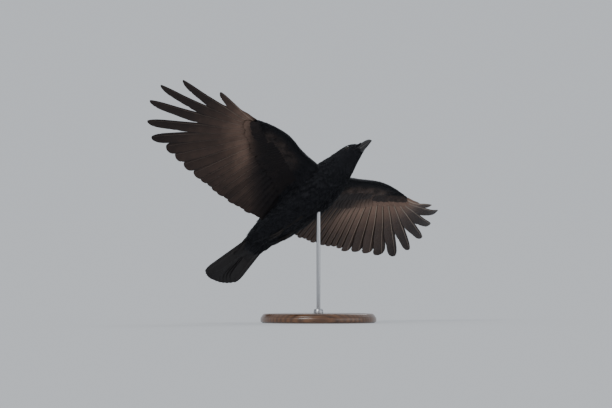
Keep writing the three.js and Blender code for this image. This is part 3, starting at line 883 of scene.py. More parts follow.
def pale_and_painted_light(forward, out, hand):
    """How pale the wing's underside is painted: paler feather bases behind the wrist, brightened by a painted
    glow of light through them, dark towards the body under a painted shadow of the body, darker on the
    fingers, and each wing scaled by its painted side light.
    """
    behind = np.maximum(0, -38 + 0.5 * (out - 160) - forward)
    # painted glow of light shining through the feathers behind the wrist
    glow = np.exp(-((behind / 62) ** 2)) * step_up(out, *PAINTED_GLOW_FROM[hand]) * (1 - step_up(out, 250, 335))
    # painted shadow of the body over the feathers near it
    body_shadow_line = PAINTED_SHADE_OUT_TO[hand] + 1.04 * (forward + 15)
    lit = 0.45 + 0.41 * glow - 0.26 * step_up(out, 300, 400) - 0.08 * step_up(-forward, 105, 150)
    return PAINTED_SIDE_LIGHT[hand] * lit * (1 - BODY_PAINTED_SHADE[hand] * step_up(body_shadow_line - out, -36, 30))


QUILL_HALF = 1.5
QUILL_COLUMNS = np.array((-QUILL_HALF, -0.9, -0.45, 0, 0.45, 0.9, QUILL_HALF))
FRONT_COLUMNS = np.array((1, 0.9, 0.55, 0.24))
REAR_COLUMNS = np.array((0.12, 0.34, 0.64, 0.92, 1))
LEAST_VANE = 1.6
SHAFT_OVER = 0.55
SHAFT_BENEATH = 0.95
LINE_HALF = 0.95
RIM_UNDER = 0.6


def plume(centre, side, normal, front, back, shaft, slope, crown, seed):
    """One closed feather round a shaft line. side points to the rear vane, and slope lifts the front edge.
    Returns points, faces, the baking place of each face corner, and what the material reads."""
    rng = np.random.default_rng(seed)
    count = len(centre)
    front, back = np.maximum(front, LEAST_VANE * shaft), np.maximum(back, LEAST_VANE * shaft)
    quill = shaft[:, None] * QUILL_COLUMNS
    edge = QUILL_HALF * shaft
    fore = -(edge[:, None] + (front - edge)[:, None] * FRONT_COLUMNS)
    rear = edge[:, None] + (back - edge)[:, None] * REAR_COLUMNS
    across = np.hstack([fore, quill, rear])
    columns = across.shape[1]
    wide = (front + back)[:, None]
    chord = (across + front[:, None]) / wide
    rise = slope * wide / 2 * (1 - 2 * chord) + crown * wide * 4 * chord * (1 - chord)
    ripple = rng.uniform(-0.12, 0.12, columns) * np.abs(2 * chord[0] - 1)
    rise = rise + np.outer(np.linspace(0, 1, count), ripple)
    in_quill = np.sqrt(np.maximum(0, 1 - (across / shaft[:, None]) ** 2))
    vane = VANE_THICK * np.sqrt(np.clip(4 * chord * (1 - chord), 0, 1))
    over = vane + SHAFT_OVER * shaft[:, None] * in_quill
    beneath = vane + SHAFT_BENEATH * shaft[:, None] * in_quill
    top = centre[:, None] + side[:, None] * across[..., None] + normal[:, None] * (rise + over)[..., None]
    low = centre[:, None] + side[:, None] * across[..., None] + normal[:, None] * (rise - beneath)[..., None]
    for edge_column in (0, columns - 1):
        top[:, edge_column] = (top[:, edge_column] + low[:, edge_column]) / 2
    ring = np.concatenate([top, low[:, -2:0:-1]], 1)
    size = ring.shape[1]
    column_of = np.array([k if k < columns else 2 * columns - 2 - k for k in range(size)])
    faces, corners = [], []
    places = np.linspace(0, 1, count)

    def baked_at(i, k, upper):
        return (0.02 if upper else 0.52) + 0.46 * chord[i, column_of[k % size]], places[i]

    for i in range(count - 1):
        for k in range(size):
            upper, beside = k < columns - 1, (k + 1) % size
            around = ((i, k), (i, beside), (i + 1, beside), (i + 1, k))
            faces.append(tuple(row * size + column for row, column in around))
            corners += [baked_at(row, column, upper) for row, column in around]
    for i, order in ((0, -1), (count - 1, 1)):
        for j in range(columns - 1):
            upper_left, upper_right = i * size + j, i * size + j + 1
            lower_right = i * size + (size - j - 1 if j + 1 < columns - 1 else columns - 1)
            lower_left = i * size + ((size - j) % size)
            face = [upper_left, upper_right, lower_right, lower_left]
            face = [corner for n, corner in enumerate(face) if corner not in face[:n]]
            faces.append(tuple(face[::order]))
            corners += [(0.02 + 0.46 * chord[i, j], places[i])] * len(face)
    points = ring.reshape(-1, 3)
    on_column = across[:, column_of]
    lined = np.abs(on_column) < LINE_HALF * shaft[:, None]
    length = np.append(0, np.cumsum(np.linalg.norm(np.diff(centre, axis=0), axis=1)))
    under = np.array([RIM_UNDER if k in (0, columns - 1) else float(k >= columns) for k in range(size)])
    values = {
        "along": np.repeat(places, size),
        "under": np.tile(under, count),
        "shaft": lined.ravel().astype(float),
        "barb": (length[:, None] - 1.15 * np.abs(on_column)).ravel(),
        "shade": np.full(len(points), rng.uniform(0, 1)),
    }
    return points, faces, np.array(corners), values


def baking_map(mesh, places):
    """The baking map of a mesh from a place on it for each face corner."""
    layer = mesh.uv_layers.new(name="OFBake")
    layer.data.foreach_set("uv", places.astype(np.float32).ravel())


def plume_piece(name, plumes, finish, flip=False):
    """Joins plumes into one mesh, each with a strip of the baking map to itself."""
    points, faces = together([(one[0], one[1]) for one in plumes])
    strips = np.vstack([(one[2] + (n, 0)) / (len(plumes), 1) for n, one in enumerate(plumes)])
    reverse = inside_out(plumes[0][0], plumes[0][1]) != flip
    if flip:
        points = points * (1, -1, 1)
    if reverse:
        sizes = [len(face) for face in faces]
        starts = np.cumsum([0, *sizes[:-1]])
        faces = [tuple(face[::-1]) for face in faces]
        strips = np.vstack([strips[s:s + n][::-1] for s, n in zip(starts, sizes)])
    made = piece(name, points, faces, finish)
    for key in plumes[0][3]:
        vertex_values(made.data, key, np.concatenate([one[3][key] for one in plumes]))
    baking_map(made.data, strips)
    return made


def rounded_tip(t, start):
    """What a feather keeps of its width as it rounds off, from a place along it to its end."""
    return np.sqrt(np.maximum(0.006, 1 - np.maximum(0, (t - start) / (1.001 - start)) ** 2))


def vane_widths(t, wide, finger, rounding):
    """Widths of the two vanes along the shaft; finger says how far the outer end narrows, and rounding how
    much of the length the tip's curve takes."""
    opened = wide * np.minimum(1, 0.35 + t / 0.22)

    def notched(start, end, depth):
        return 1 - depth * finger * step_up(t, start, end)

    front = opened * FRONT_SHARE * notched(*FRONT_NOTCH) * rounded_tip(t, 1 - 0.75 * rounding)
    back = opened * (1 - FRONT_SHARE) * notched(*REAR_NOTCH) * rounded_tip(t, 1 - rounding)
    return front, back


def frayed(widths, rng, splits, depth):
    """Vane edges with small irregularities and a few splits where barbs have parted."""
    count = len(widths)
    edge = widths * (1 + rng.normal(0, 0.005, count))
    for _ in range(splits):
        at = rng.integers(int(count * 0.4), count - 3)
        edge[at] *= 1 - depth * rng.uniform(0.4, 1)
    return edge


SHAFT_BOW = 0.004
# how wide a rear vane may be: a share of the gap to the next shaft less a margin, and at least the last value
GAP_SHARE, GAP_MARGIN, LEAST_REAR = 0.93, 1.2, 3


def wing_plume(root, turn, length, wide, seed, hand="right", finger=0.0, start=0.08, over=None, stations=46,
               slope=SHINGLE, crown=0.035, quill=1.15, splits=2, dusk=0.0, rounding=0.07, inner=None):
    """A feather that lies on the wing from a root place, turned outward from straight back. over lifts it
    off the wing's middle surface as a function of the place; below the wing it is negative. dusk darkens it.
    inner is the root and turn of the next feather towards the body, whose shaft the rear vane leaves bare."""
    rng = np.random.default_rng(seed)
    t = start + (1 - start) * (1 - (1 - np.linspace(0, 1, stations)) ** 1.6)
    straight = np.array((-math.cos(turn), math.sin(turn)))
    ahead = np.array((math.sin(turn), math.cos(turn)))
    bow = SHAFT_BOW * length * 4 * t * (1 - t)
    plan = np.array(root) + np.outer(length * t, straight) + np.outer(bow, ahead)
    forward, out = plan[:, 0], plan[:, 1]
    centre, normal = on_wing(forward, out), wing_normal(forward, out)
    if over is not None:
        centre = centre + normal * over(forward, out, t)[:, None]
    tangent = np.gradient(centre, axis=0)
    side = unit(np.cross(tangent, normal))
    front, back = vane_widths(t, wide, finger, rounding + 0.12 * finger)
    if inner is not None:
        (near_forward, near_out), near_turn = inner
        gap = (forward - near_forward) * math.sin(near_turn) + (out - near_out) * math.cos(near_turn)
        back = np.minimum(back, np.maximum(LEAST_REAR, GAP_SHARE * gap - GAP_MARGIN))
    front = frayed(front, rng, splits // 2, 0.10)
    back = frayed(back, rng, splits, 0.07)
    shaft = quill * (1 - 0.72 * t) * min(1, wide / 18)
    made = plume(centre, side, normal, front, back, shaft, slope, crown, seed)
    made[3]["pale"] = pale_and_painted_light(made[0][:, 0], -made[0][:, 1], hand) * (1 - dusk)
    made[3]["shaft"] = made[3]["shaft"] * SHAFT_SHOW_AND_SIDE_LIGHT[hand]
    return made


def between(ends, t):
    """A value from the first end at 0 to the second at 1."""
    return ends[0] + (ends[1] - ends[0]) * t


def root_between(row, t):
    """A root place between the first and the last of a row."""
    return tuple(between((row[0][k], row[1][k]), t) for k in (0, 1))


def secondary_set(i):
    """Root and turn of a secondary, counted from the body outward."""
    t = i / (SECONDARIES - 1)
    return root_between(SECONDARY_ROOT, t), math.radians(between(SECONDARY_TURN, t))


def primary_set(i, hand):
    """Root and turn of a primary, counted from the body outward."""
    t = i / (len(PRIMARY_FINGER) - 1)
    return root_between(PRIMARY_ROOT, t), math.radians(PRIMARY_TURN[hand][i])


def primary(i, hand):
    """A primary, its rear vane kept off the next shaft inward."""
    wide = between(PRIMARY_WIDE, i / (len(PRIMARY_FINGER) - 1))
    inner = primary_set(i - 1, hand) if i else secondary_set(SECONDARIES - 1)
    return wing_plume(
        *primary_set(i, hand), PRIMARY_LENGTH[hand][i], wide, seed=100 + i, hand=hand,
        finger=PRIMARY_FINGER[i], start=0.04, splits=3, rounding=0.09, inner=inner,
    )


def secondary(i, hand):
    """A secondary; their lengths vary a little from one to the next."""
    length = between(SECONDARY_LENGTH[hand], i / (SECONDARIES - 1)) + 1.6 * math.sin(2.3 * i + 1)
    inner = secondary_set(i - 1) if i else None
    return wing_plume(
        *secondary_set(i), length, SECONDARY_WIDE, seed=200 + i, hand=hand, splits=3, rounding=0.10,
        inner=inner,
    )


RECTRICES = 6
TAIL_ROOT = -168
TAIL_LENGTH = (155, 166)
TAIL_TURN = 11.6
TAIL_HEIGHT = 10
TAIL_YAW = math.radians(1)
TAIL_STEP = 0.74
TAIL_SKEW = 3.5
TAIL_WIDE = 35


def rectrix(pair, sign):
    """A tail feather of a pair counted from the middle, on the side that the sign gives."""
    outer = pair / (RECTRICES - 1)
    turn = math.radians(between((1, TAIL_TURN), outer))
    length = between((TAIL_LENGTH[1], TAIL_LENGTH[0]), outer**2) - sign * TAIL_SKEW * outer
    t = 0.1 + 0.9 * (1 - (1 - np.linspace(0, 1, 40)) ** 1.6)
    along = TAIL_ROOT - length * t * math.cos(turn)
    side = sign * (1.5 + 1.9 * pair + length * t * math.sin(turn)) - length * t * math.sin(TAIL_YAW)
    rise = TAIL_HEIGHT - TAIL_STEP * pair - (TAIL_STEP / 2 if sign < 0 else 0)
    centre = np.stack([along, side, np.full(len(t), float(rise))], -1)
    tip = rounded_tip(t, 0.84)
    rng = np.random.default_rng(300 + pair * 2 + (sign > 0))
    front = frayed(TAIL_WIDE * between((0.46, 0.3), outer) * tip, rng, 1, 0.08)
    back = frayed(TAIL_WIDE * between((0.54, 0.7), outer) * tip, rng, 2, 0.06)
    inward = np.tile((0.0, -sign, 0.0), (len(t), 1))
    normal = np.tile((0.0, 0.0, 1.0), (len(t), 1))
    shaft = 1.1 * (1 - 0.7 * t)
    made = plume(centre, inward, normal, front, back, shaft, 0.02, 0.02, 300 + pair)
    made[3]["pale"] = 0.75 - 0.45 * made[3]["along"]
    return made


for name, flip in SIDES:
    hand_plumes = [primary(i, name) for i in range(len(PRIMARY_FINGER))]
    made = plume_piece(f"primary_feathers_{name}", hand_plumes, flight_vane, flip)
    on_bird(made, "flight_feathers", f"primaries_{name}")
    arm_plumes = [secondary(i, name) for i in range(SECONDARIES)]
    made = plume_piece(f"secondary_feathers_{name}", arm_plumes, flight_vane, flip)
    on_bird(made, "flight_feathers", f"secondaries_{name}")

tail_plumes = [rectrix(pair, sign) for pair in range(RECTRICES) for sign in (1, -1)]
on_bird(plume_piece("tail_feathers", tail_plumes, tail_vane), "flight_feathers", "tail")


# ---- the quilled coverts -----------------------------------------------------------------------------
# Rows of firm feathers over the roots of the flight feathers, above and below each wing, and the bastard
# wing of four stiff feathers at the wrist. Those above are glossy black, those below browner.
def clear_of_arm(tier):
    """Height of a covert over the wing's middle surface: on the arm's coat, then on the flight feathers."""
    def over(forward, out, t):
        half, _ = arm_half(forward, np.clip(out, *ARM_ENDS))
        on_arm = half - 2.0 + 1.3 * np.minimum(1, 2.5 * t)
        return np.maximum(on_arm, 2.1 - 1.4 * t) + tier * np.minimum(1, 2 * t)

    return over


def below_arm(tier):
    """The same clearance on the wing's lower side."""
    over = clear_of_arm(tier)
    return lambda forward, out, t: -over(forward, out, t)


# each row from the body outward: count, first and last root, first and last turn, first and last length,
# width, height over the wing, quill, dusk
UPPER_ROWS = (
    (13, ((-46, 54), (-3, 148)), (-4, 22), (50, 56), 21, 0.0, 0.8, 0),
    (12, ((-1, 155), (24, 236)), (25, 74), (58, 40), 18, 0.0, 0.8, 0),
    (14, ((-24, 50), (12, 148)), (-3, 20), (36, 34), 19, 0.7, 0.6, 0),
    (11, ((12, 155), (28, 228)), (24, 66), (34, 26), 16, 0.7, 0.6, 0),
)
LOWER_ROWS = (
    (13, ((-44, 56), (-1, 148)), (-4, 22), (46, 50), 21, 0.0, 0.5, 0.10),
    (12, ((0, 155), (24, 236)), (25, 76), (52, 36), 19, 0.0, 0.5, 0.0),
    (18, ((-28, 52), (8, 158)), (-3, 30), (34, 26), 17, 0.4, 0.35, 0.55),
    (12, ((8, 184), (29, 236)), (20, 66), (27, 22), 14, 0.4, 0.35, 0.70),
)


def covert_row(row, under, seed, hand):
    """One row of coverts; the darker small ones below lie less evenly."""
    count, roots, turns, lengths, wide, tier, quill, dusk = row
    rng = np.random.default_rng(seed)
    uneven, longest = (2.4, 1.12) if dusk > 0.5 else (1.2, 1.02)
    over = below_arm(tier) if under else clear_of_arm(tier)
    plumes = []
    for i in range(count):
        t = i / (count - 1)
        turn = math.radians(between(turns, t) + rng.normal(0, uneven))
        length = between(lengths, t) * rng.uniform(0.88, longest)
        # the left wing's coverts are painted less dark, as painted light where that wing was lit more
        dark = float(np.clip(dusk + rng.normal(0, 0.05), 0, 1)) * (0.8 if hand == "left" else 1)
        plumes.append(wing_plume(
            root_between(roots, t), turn, length, wide, seed=seed + i, hand=hand, start=0.0, over=over,
            stations=20, slope=0.05 if under else 0.08, crown=0.0 if under else 0.04, quill=quill, splits=1,
            rounding=0.3, dusk=dark,
        ))
    return plumes


def bastard_wing():
    """The four stiff feathers of the thumb, each longer than the one over it."""
    plumes = []
    for i, (turn, length) in enumerate(((86, 34), (82, 46), (77, 57), (71, 66))):
        plumes.append(wing_plume(
            (23 - 1.5 * i, 159 + 1.5 * i), math.radians(turn), length, 13, seed=480 + i, start=0.0,
            over=clear_of_arm(2.9 - 0.5 * i), stations=20, slope=0.08, crown=0.05, quill=0.9, splits=1,
            rounding=0.2,
        ))
    return plumes


upper_covert = feather_material("upper_covert", GLOSS_BLACK, UNDER_WING, (0.02, 0.018, 0.017, 1))
lower_covert = feather_material("lower_covert", (0.012, 0.010, 0.010, 1), UNDER_WING, (0.06, 0.047, 0.038, 1))
for name, flip in SIDES:
    above = [one for n, row in enumerate(UPPER_ROWS) for one in covert_row(row, False, 400 + 20 * n, name)]
    upper = plume_piece(f"upper_coverts_{name}", above + bastard_wing(), upper_covert, flip)
    on_bird(upper, "flight_feathers", f"wing_arm_{name}", f"wing_hand_{name}")
    beneath = [one for n, row in enumerate(LOWER_ROWS) for one in covert_row(row, True, 500 + 20 * n, name)]
    lower = plume_piece(f"lower_coverts_{name}", beneath, lower_covert, flip)
    on_bird(lower, "flight_feathers", f"wing_arm_{name}", f"wing_hand_{name}")


# the tail coverts: long soft feathers from the rump that lie over the roots of the tail, above and below
def tail_covert(turn, start, length, wide, lift, seed):
    """turn goes round the rump from the bird's left; the feather ends lift outside the tail's surface."""
    rng = np.random.default_rng(seed)
    t = np.linspace(0, 1, 22)
    top, bottom, half = body_at(start)
    outward = np.array((0.0, math.cos(turn), math.sin(turn)))
    root_rise = (top + bottom) / 2 + 0.78 * (top - bottom) / 2 * outward[2]
    root = np.array((start, 0.8 * half * outward[1], root_rise))
    end_side = (0.62 * half + 0.08 * length) * outward[1]
    pair = min(RECTRICES - 1, abs(end_side) / 7.5)
    side_of = 1.0 if outward[2] > 0 else -1.0
    end_rise = TAIL_HEIGHT - TAIL_STEP * (pair if side_of < 0 else 0.8 * pair) + side_of * lift
    end = np.array((start - length, end_side, end_rise))
    line = root + (end - root) * np.column_stack([t, t, t**1.1])
    flat = np.array((0.0, 0.0, side_of))
    normal = unit(outward * (1 - t[:, None]) + flat * t[:, None]) * side_of
    tangent = np.gradient(line, axis=0)
    opened = wide * np.minimum(1, 0.4 + t / 0.3) * rounded_tip(t, 0.55) / 2
    front, back = frayed(opened, rng, 2, 0.12), frayed(opened, rng, 2, 0.12)
    side = unit(np.cross(tangent, normal))
    made = plume(line, side, normal, front, back, 0.5 * (1 - 0.7 * t), 0.0, 0.06 * side_of, seed)
    made[3]["pale"] = np.full(len(made[0]), 0.08 + 0.2 * rng.uniform())
    return made


TAIL_COVERTS = (
    # count, first and last turn in degrees, start, length, width, lift
    (15, -160, -20, -200, 58, 12, 2.4), (14, -154, -26, -192, 50, 12, 3.6),
    (11, 26, 154, -202, 50, 12, 2.2), (10, 32, 148, -194, 44, 12, 3.2),
)
tail_coverts = []
for row, (count, first, last, *shape) in enumerate(TAIL_COVERTS):
    for n in range(count):
        turn = math.radians(between((first, last), n / (count - 1)))
        tail_coverts.append(tail_covert(turn, *shape, 600 + 20 * row + n))
on_bird(plume_piece("tail_coverts", tail_coverts, tail_vane), "flight_feathers", "tail")


# ---- the coat ----------------------------------------------------------------------------------------
# Small soft feathers rooted in the skin and lying back over one another: tiny on the face, hackled on the
# throat and neck, broad on the trunk, short and firm along the front of the wings, long on the rump.
def soft_feather(name, barbs, fan, crown, curl, seed):
    """One contour feather, 1 long and 1 wide: flat barbs that sweep back from the shaft and end in a fringe.
    Its root is at the origin and it points along X. fan says how much shorter the outer barbs are."""
    rng = np.random.default_rng(seed)
    points, faces = [], []
    half_wide = 0.62 / (barbs - 1)
    for n, aside in enumerate(np.linspace(-1, 1, barbs)):
        root = 0.30 * (1 - abs(aside)) + 0.02
        tip = 1 - fan * abs(aside) ** 1.8 + rng.normal(0, 0.035)
        out = 0.5 * aside + rng.normal(0, 0.012)
        tier = 0.010 * (n % 2) - 0.012 * abs(aside)
        first = len(points)
        for share, spread, wide in ((0, 0.10, 0.5), (0.66, 0.86, 1.0)):
            x, y = root + (tip - root) * share, out * spread
            z = crown * (1 - 4 * y * y) * min(1, 2 * x) - curl * x * x + tier
            for across, rise in ((-1, 0), (0, 0.014), (1, 0)):
                points.append((x - 0.05 * abs(across) * share, y + across * wide * half_wide, z + rise))
        points.append((tip, out, crown * (1 - aside**2) - curl * tip * tip + tier))
        for a, b in ((0, 1), (1, 2), (2, 0)):
            faces.append((first + a, first + 3 + a, first + 3 + b, first + b))
            faces.append((first + 3 + a, first + 6, first + 3 + b))
        faces.append((first, first + 1, first + 2))
    mesh = bpy.data.meshes.new(name)
    mesh.from_pydata(points, [], faces)
    mesh.shade_smooth()
    vertex_values(mesh, "along", [point[0] for point in points])
    vertex_values(mesh, "across", [point[1] * 2 for point in points])
    return bpy.data.objects.new(name, mesh)


VARIANTS = 4


def feather_set(name, *shape):
    """Variants of a contour feather, in a collection for the planting tree to pick from."""
    variants = bpy.data.collections.new(name)
    bpy.context.scene.collection.children.link(variants)
    for n in range(VARIANTS):
        variants.objects.link(soft_feather(f"{name}_{n}", *shape, 700 + n))
    return variants


def planting_tree():
    """Plants feathers over a region of the skin, each pointing along the lie and lifted off the skin."""
    tree = bpy.data.node_groups.new("feather_planting", "GeometryNodeTree")
    tree.interface.new_socket(name="Geometry", in_out="OUTPUT", socket_type="NodeSocketGeometry")
    for name, kind in (
        ("Skin", "NodeSocketGeometry"), ("Feathers", "NodeSocketCollection"), ("Region", "NodeSocketString"),
        ("Spacing", "NodeSocketFloat"), ("Slimness", "NodeSocketFloat"), ("Lift", "NodeSocketFloat"),
        ("Ruffle", "NodeSocketFloat"), ("Seed", "NodeSocketInt"), ("Finish", "NodeSocketMaterial"),
    ):
        tree.interface.new_socket(name=name, in_out="INPUT", socket_type=kind)

    def node(kind, inputs=(), **settings):
        made = tree.nodes.new(kind)
        for setting, value in settings.items():
            setattr(made, setting, value)
        for socket, value in dict(inputs).items():
            if isinstance(value, bpy.types.NodeSocket):
                tree.links.new(value, made.inputs[socket])
            else:
                made.inputs[socket].default_value = value
        return made

    def named(name, kind="FLOAT"):
        return node("GeometryNodeInputNamedAttribute", {"Name": name}, data_type=kind).outputs["Attribute"]

    def times(a, b):
        return node("ShaderNodeMath", {0: a, 1: b}, operation="MULTIPLY").outputs[0]

    def chance(low, high, salt):
        seed = node("ShaderNodeMath", {0: given["Seed"], 1: salt}, operation="ADD").outputs[0]
        return node("FunctionNodeRandomValue", {2: low, 3: high, 8: seed}, data_type="FLOAT").outputs[1]

    given = node("NodeGroupInput").outputs
    crowd = node("ShaderNodeMath", {0: 8.0, 1: times(given["Spacing"], given["Spacing"])}, operation="DIVIDE")
    spread = node("GeometryNodeDistributePointsOnFaces", {
        "Mesh": given["Skin"], "Distance Min": given["Spacing"], "Density Max": crowd.outputs[0],
        "Density Factor": named(given["Region"]), "Seed": given["Seed"],
    }, distribute_method="POISSON")
    rooted = node("GeometryNodeStoreNamedAttribute", {
        "Geometry": spread.outputs["Points"], "Name": "root",
        "Value": node("GeometryNodeInputPosition").outputs[0],
    }, data_type="FLOAT_VECTOR", domain="POINT")
    tinted = node("GeometryNodeStoreNamedAttribute", {
        "Geometry": rooted.outputs[0], "Name": "tint", "Value": chance(0.0, 1.0, 5),
    }, data_type="FLOAT", domain="POINT")
    out_of_skin = named("stand", "FLOAT_VECTOR")
    raised = node("ShaderNodeVectorMath", {0: out_of_skin, "Scale": given["Lift"]}, operation="SCALE")
    lie = node("ShaderNodeVectorMath", {
        0: named("lie", "FLOAT_VECTOR"), 1: raised.outputs[0],
    }, operation="ADD")
    facing = node("FunctionNodeAxesToRotation", {
        "Primary Axis": lie.outputs[0], "Secondary Axis": out_of_skin,
    }, primary_axis="X", secondary_axis="Z")
    less = times(given["Ruffle"], -1.0)
    roll = chance(less, given["Ruffle"], 11)
    tilt = chance(times(less, 0.4), times(given["Ruffle"], 0.4), 13)
    yaw = chance(less, given["Ruffle"], 17)
    stir = node("ShaderNodeCombineXYZ", {"X": roll, "Y": tilt, "Z": yaw})
    stirred = node("FunctionNodeRotateRotation", {
        "Rotation": facing.outputs[0], "Rotate By": stir.outputs[0],
    }, rotation_space="LOCAL")
    length = times(named("length"), chance(0.86, 1.12, 19))
    wide = times(length, given["Slimness"])
    size = node("ShaderNodeCombineXYZ", {"X": length, "Y": wide, "Z": length})
    kinds = node("GeometryNodeCollectionInfo", {
        "Collection": given["Feathers"], "Separate Children": True, "Reset Children": True,
    })
    pick = node("FunctionNodeRandomValue", {4: 0, 5: VARIANTS - 1, 8: given["Seed"]}, data_type="INT")
    planted = node("GeometryNodeInstanceOnPoints", {
        "Points": tinted.outputs[0], "Instance": kinds.outputs[0], "Pick Instance": True,
        "Instance Index": pick.outputs[2], "Rotation": stirred.outputs[0], "Scale": size.outputs[0],
    })
    real = node("GeometryNodeRealizeInstances", {"Geometry": planted.outputs[0]})
    painted = node("GeometryNodeSetMaterial", {"Geometry": real.outputs[0], "Material": given["Finish"]})
    node("NodeGroupOutput", {"Geometry": painted.outputs[0]})
    return tree


PLANTING = planting_tree()


def baking_map_by_vertex(mesh, places):
    """The baking map of a mesh from a place on it for each vertex."""
    corners = np.empty(len(mesh.loops), np.int32)
    mesh.loops.foreach_get("vertex_index", corners)
    baking_map(mesh, places[corners])


def sown(settings):
    """A mesh of the feathers that the planting tree sets on the skin by these settings."""
    ground = bpy.data.objects.new("ground", skin_mesh)
    bpy.context.collection.objects.link(ground)
    planting = ground.modifiers.new("planting", "NODES")
    planting.node_group = PLANTING
    for item in PLANTING.interface.items_tree:
        if item.item_type == "SOCKET" and item.in_out == "INPUT" and item.name in settings:
            planting[item.identifier] = settings[item.name]
    return baked_down(ground)


TUFT_PATCH = 0.003


def coat_piece(name, sowings, unwrap):
    """One coat piece from several sowings of feathers on the skin, with its baking map."""
    coat, *others = [bpy.data.objects.new(name, mesh) for mesh in [sown(settings) for settings in sowings]]
    for made in (coat, *others):
        bpy.context.collection.objects.link(made)
    if others:
        with bpy.context.temp_override(active_object=coat, selected_editable_objects=[coat, *others]):
            bpy.ops.object.join()
    mesh = coat.data
    mesh.name = name
    roots = as_vectors(mesh.attributes["root"].data, "vector")
    local = np.empty((2, len(mesh.vertices)), np.float32)
    mesh.attributes["along"].data.foreach_get("value", local[0])
    mesh.attributes["across"].data.foreach_get("value", local[1])
    patch = np.stack([local[0] - 0.5, local[1] / 2], -1) * TUFT_PATCH
    baking_map_by_vertex(mesh, unwrap(roots) + patch)
    for spent in ("lie", "stand", "length", "root", *REGIONS):
        if spent in mesh.attributes:
            mesh.attributes.remove(mesh.attributes[spent])
    return coat


def body_unwrap(points):
    """Length along the back by the turn round it."""
    top, bottom, _ = np.moveaxis(body_at(points[:, 0]), -1, 0)
    turn = np.arctan2(points[:, 2] - (top + bottom) / 2, points[:, 1]) / (2 * math.pi)
    return np.stack([0.02 + 0.96 * (points[:, 0] - RUMP) / (FACE - RUMP), 0.5 + 0.96 * turn], -1)


def wing_unwrap(points):
    """Distance out along the wing by the place across it, each of its two sides in its own half."""
    out = np.clip(np.abs(points[:, 1]), *ARM_ENDS)
    _, back = arm_half(points[:, 0], out)
    upper = points[:, 2] > wing_height(points[:, 0], out)
    across = np.where(upper, 0.02, 0.52) + 0.46 * np.clip(back, 0, 1)
    return np.stack([0.02 + 0.96 * out / 260, across], -1)


BODY_FEATHER = smooth((
    (-214, 40), (-190, 38), (-150, 32), (-100, 27), (-40, 25), (0, 22), (20, 18), (40, 14.5), (56, 10.5),
    (66, 7.2), (76, 5.2), (90, 4.4), (98, 3.8),
))
WING_LIE = smooth(((40, -2), (100, 8), (156, 24), (200, 46), (235, 62), (256, 70)))

# which way each feather lies: along the skin, back on the body, turned outward on the wings, off the tail
place_along, place_side, place_high = skin_points.T
normal_ahead, _, normal_up = skin_normals.T
to_its_side = np.sign(place_side)
reach = body_reach(skin_points)
out = np.abs(place_side)
wingward = step_up(reach, 1.02, 1.30) * step_up(out, 38, 56)
turn = np.radians(WING_LIE(out))
back_lie = np.stack([-np.ones(len(out)), 0 * out, 0 * out], -1)
wing_lie = np.stack([-np.cos(turn), to_its_side * np.sin(turn), 0 * out], -1)
lie = back_lie * (1 - wingward[:, None]) + wing_lie * wingward[:, None]
lie[:, 2] += 0.06 * np.sign(normal_up)
lie[:, 1] += 0.5 * to_its_side * step_up(normal_ahead, 0.3, 0.9) * step_up(out, 56, 84)
lie -= skin_normals * np.sum(lie * skin_normals, 1, keepdims=True)
by_tail = step_up(-place_along, 184, 202)
over_tail = np.sign(place_high - TAIL_HEIGHT)
lie[:, 2] += by_tail * over_tail * np.maximum(0, 0.06 - over_tail * lie[:, 2])

# how long each feather is: shorter out along the wings, on the front of the shoulders and by the tail
_, chord_back = arm_half(place_along, np.clip(out, *ARM_ENDS))
slim_out = 1 - 0.3 * step_up(out, 140, 230)
wing_length = (4.2 + 24 * np.clip(chord_back, 0, 0.25) + 8 * np.clip(chord_back, 0, 1)) * slim_out
body_length = BODY_FEATHER(place_along)
shoulder = step_up(place_along, -90, -40) * (1 - step_up(place_along, 0, 22))
shoulder *= np.exp(-(((out - 42) / 13) ** 2))
length = body_length * (1 - wingward) + wing_length * wingward + 12 * shoulder
on_shoulder = step_up(reach, 1.0, 1.12) * step_up(normal_ahead, 0.1, 0.6)
length *= 1 - 0.8 * on_shoulder * (1 - step_up(out, 50, 70))
length *= 1 - 0.45 * step_up(-place_along, 192, 214)

# where feathers grow: not round the eyes nor round the rod
eye_clear = np.ones(len(out))
for sign in (1, -1):
    off_axis, along_axis, _ = beside_eye(skin_points, sign)
    bare = 5.5 + 0.8 * step_up(place_along - EYE[0], -2, 3)
    eye_clear *= np.where((off_axis < bare) & (along_axis > -2), 0, 1)
rod_foot = BIRD.inverted() @ Vector((0, 0, 0))
rod_way = unit(np.array(BIRD.inverted().to_3x3() @ Vector((0, 0, 1))))
from_rod = skin_points - np.array(rod_foot)
rod_clear = np.linalg.norm(from_rod - (from_rod @ rod_way)[:, None] * rod_way, axis=1) > ROD_RADIUS + 2
free = eye_clear * (rod_clear | (place_high > 0))
on_body = free * (wingward < 0.5) * (normal_ahead > -0.6) * (normal_ahead < 0.9)
under_reach = 0.76 - 0.12 * step_up(out, 150, 200) + 0.05 * np.sin(out / 7.0) * np.sin(out / 3.1)
on_wing_front = (wingward >= 0.5) * np.where(normal_up < 0, chord_back < under_reach, chord_back < 0.55)
FACE_FROM = 72
CROWN_FROM = 52
NECK_FROM = 16
TRUNK_FROM = -140
REGIONS = {
    "face": on_body * (place_along > FACE_FROM),
    "crown": on_body * (place_along > CROWN_FROM) * (place_along <= FACE_FROM),
    "neck": on_body * (place_along > NECK_FROM) * (place_along <= CROWN_FROM),
    "trunk": on_body * (place_along > TRUNK_FROM) * (place_along <= NECK_FROM),
    "rump": on_body * (place_along <= TRUNK_FROM) * (normal_ahead > -0.35),
}
for name, on_side in (("right", place_side < 0), ("left", place_side > 0)):
    REGIONS[f"wing_{name}"] = on_wing_front * on_side * (chord_back > 0.08)
    REGIONS[f"edge_{name}"] = (reach > 1.04) * on_side * (chord_back < 0.16)
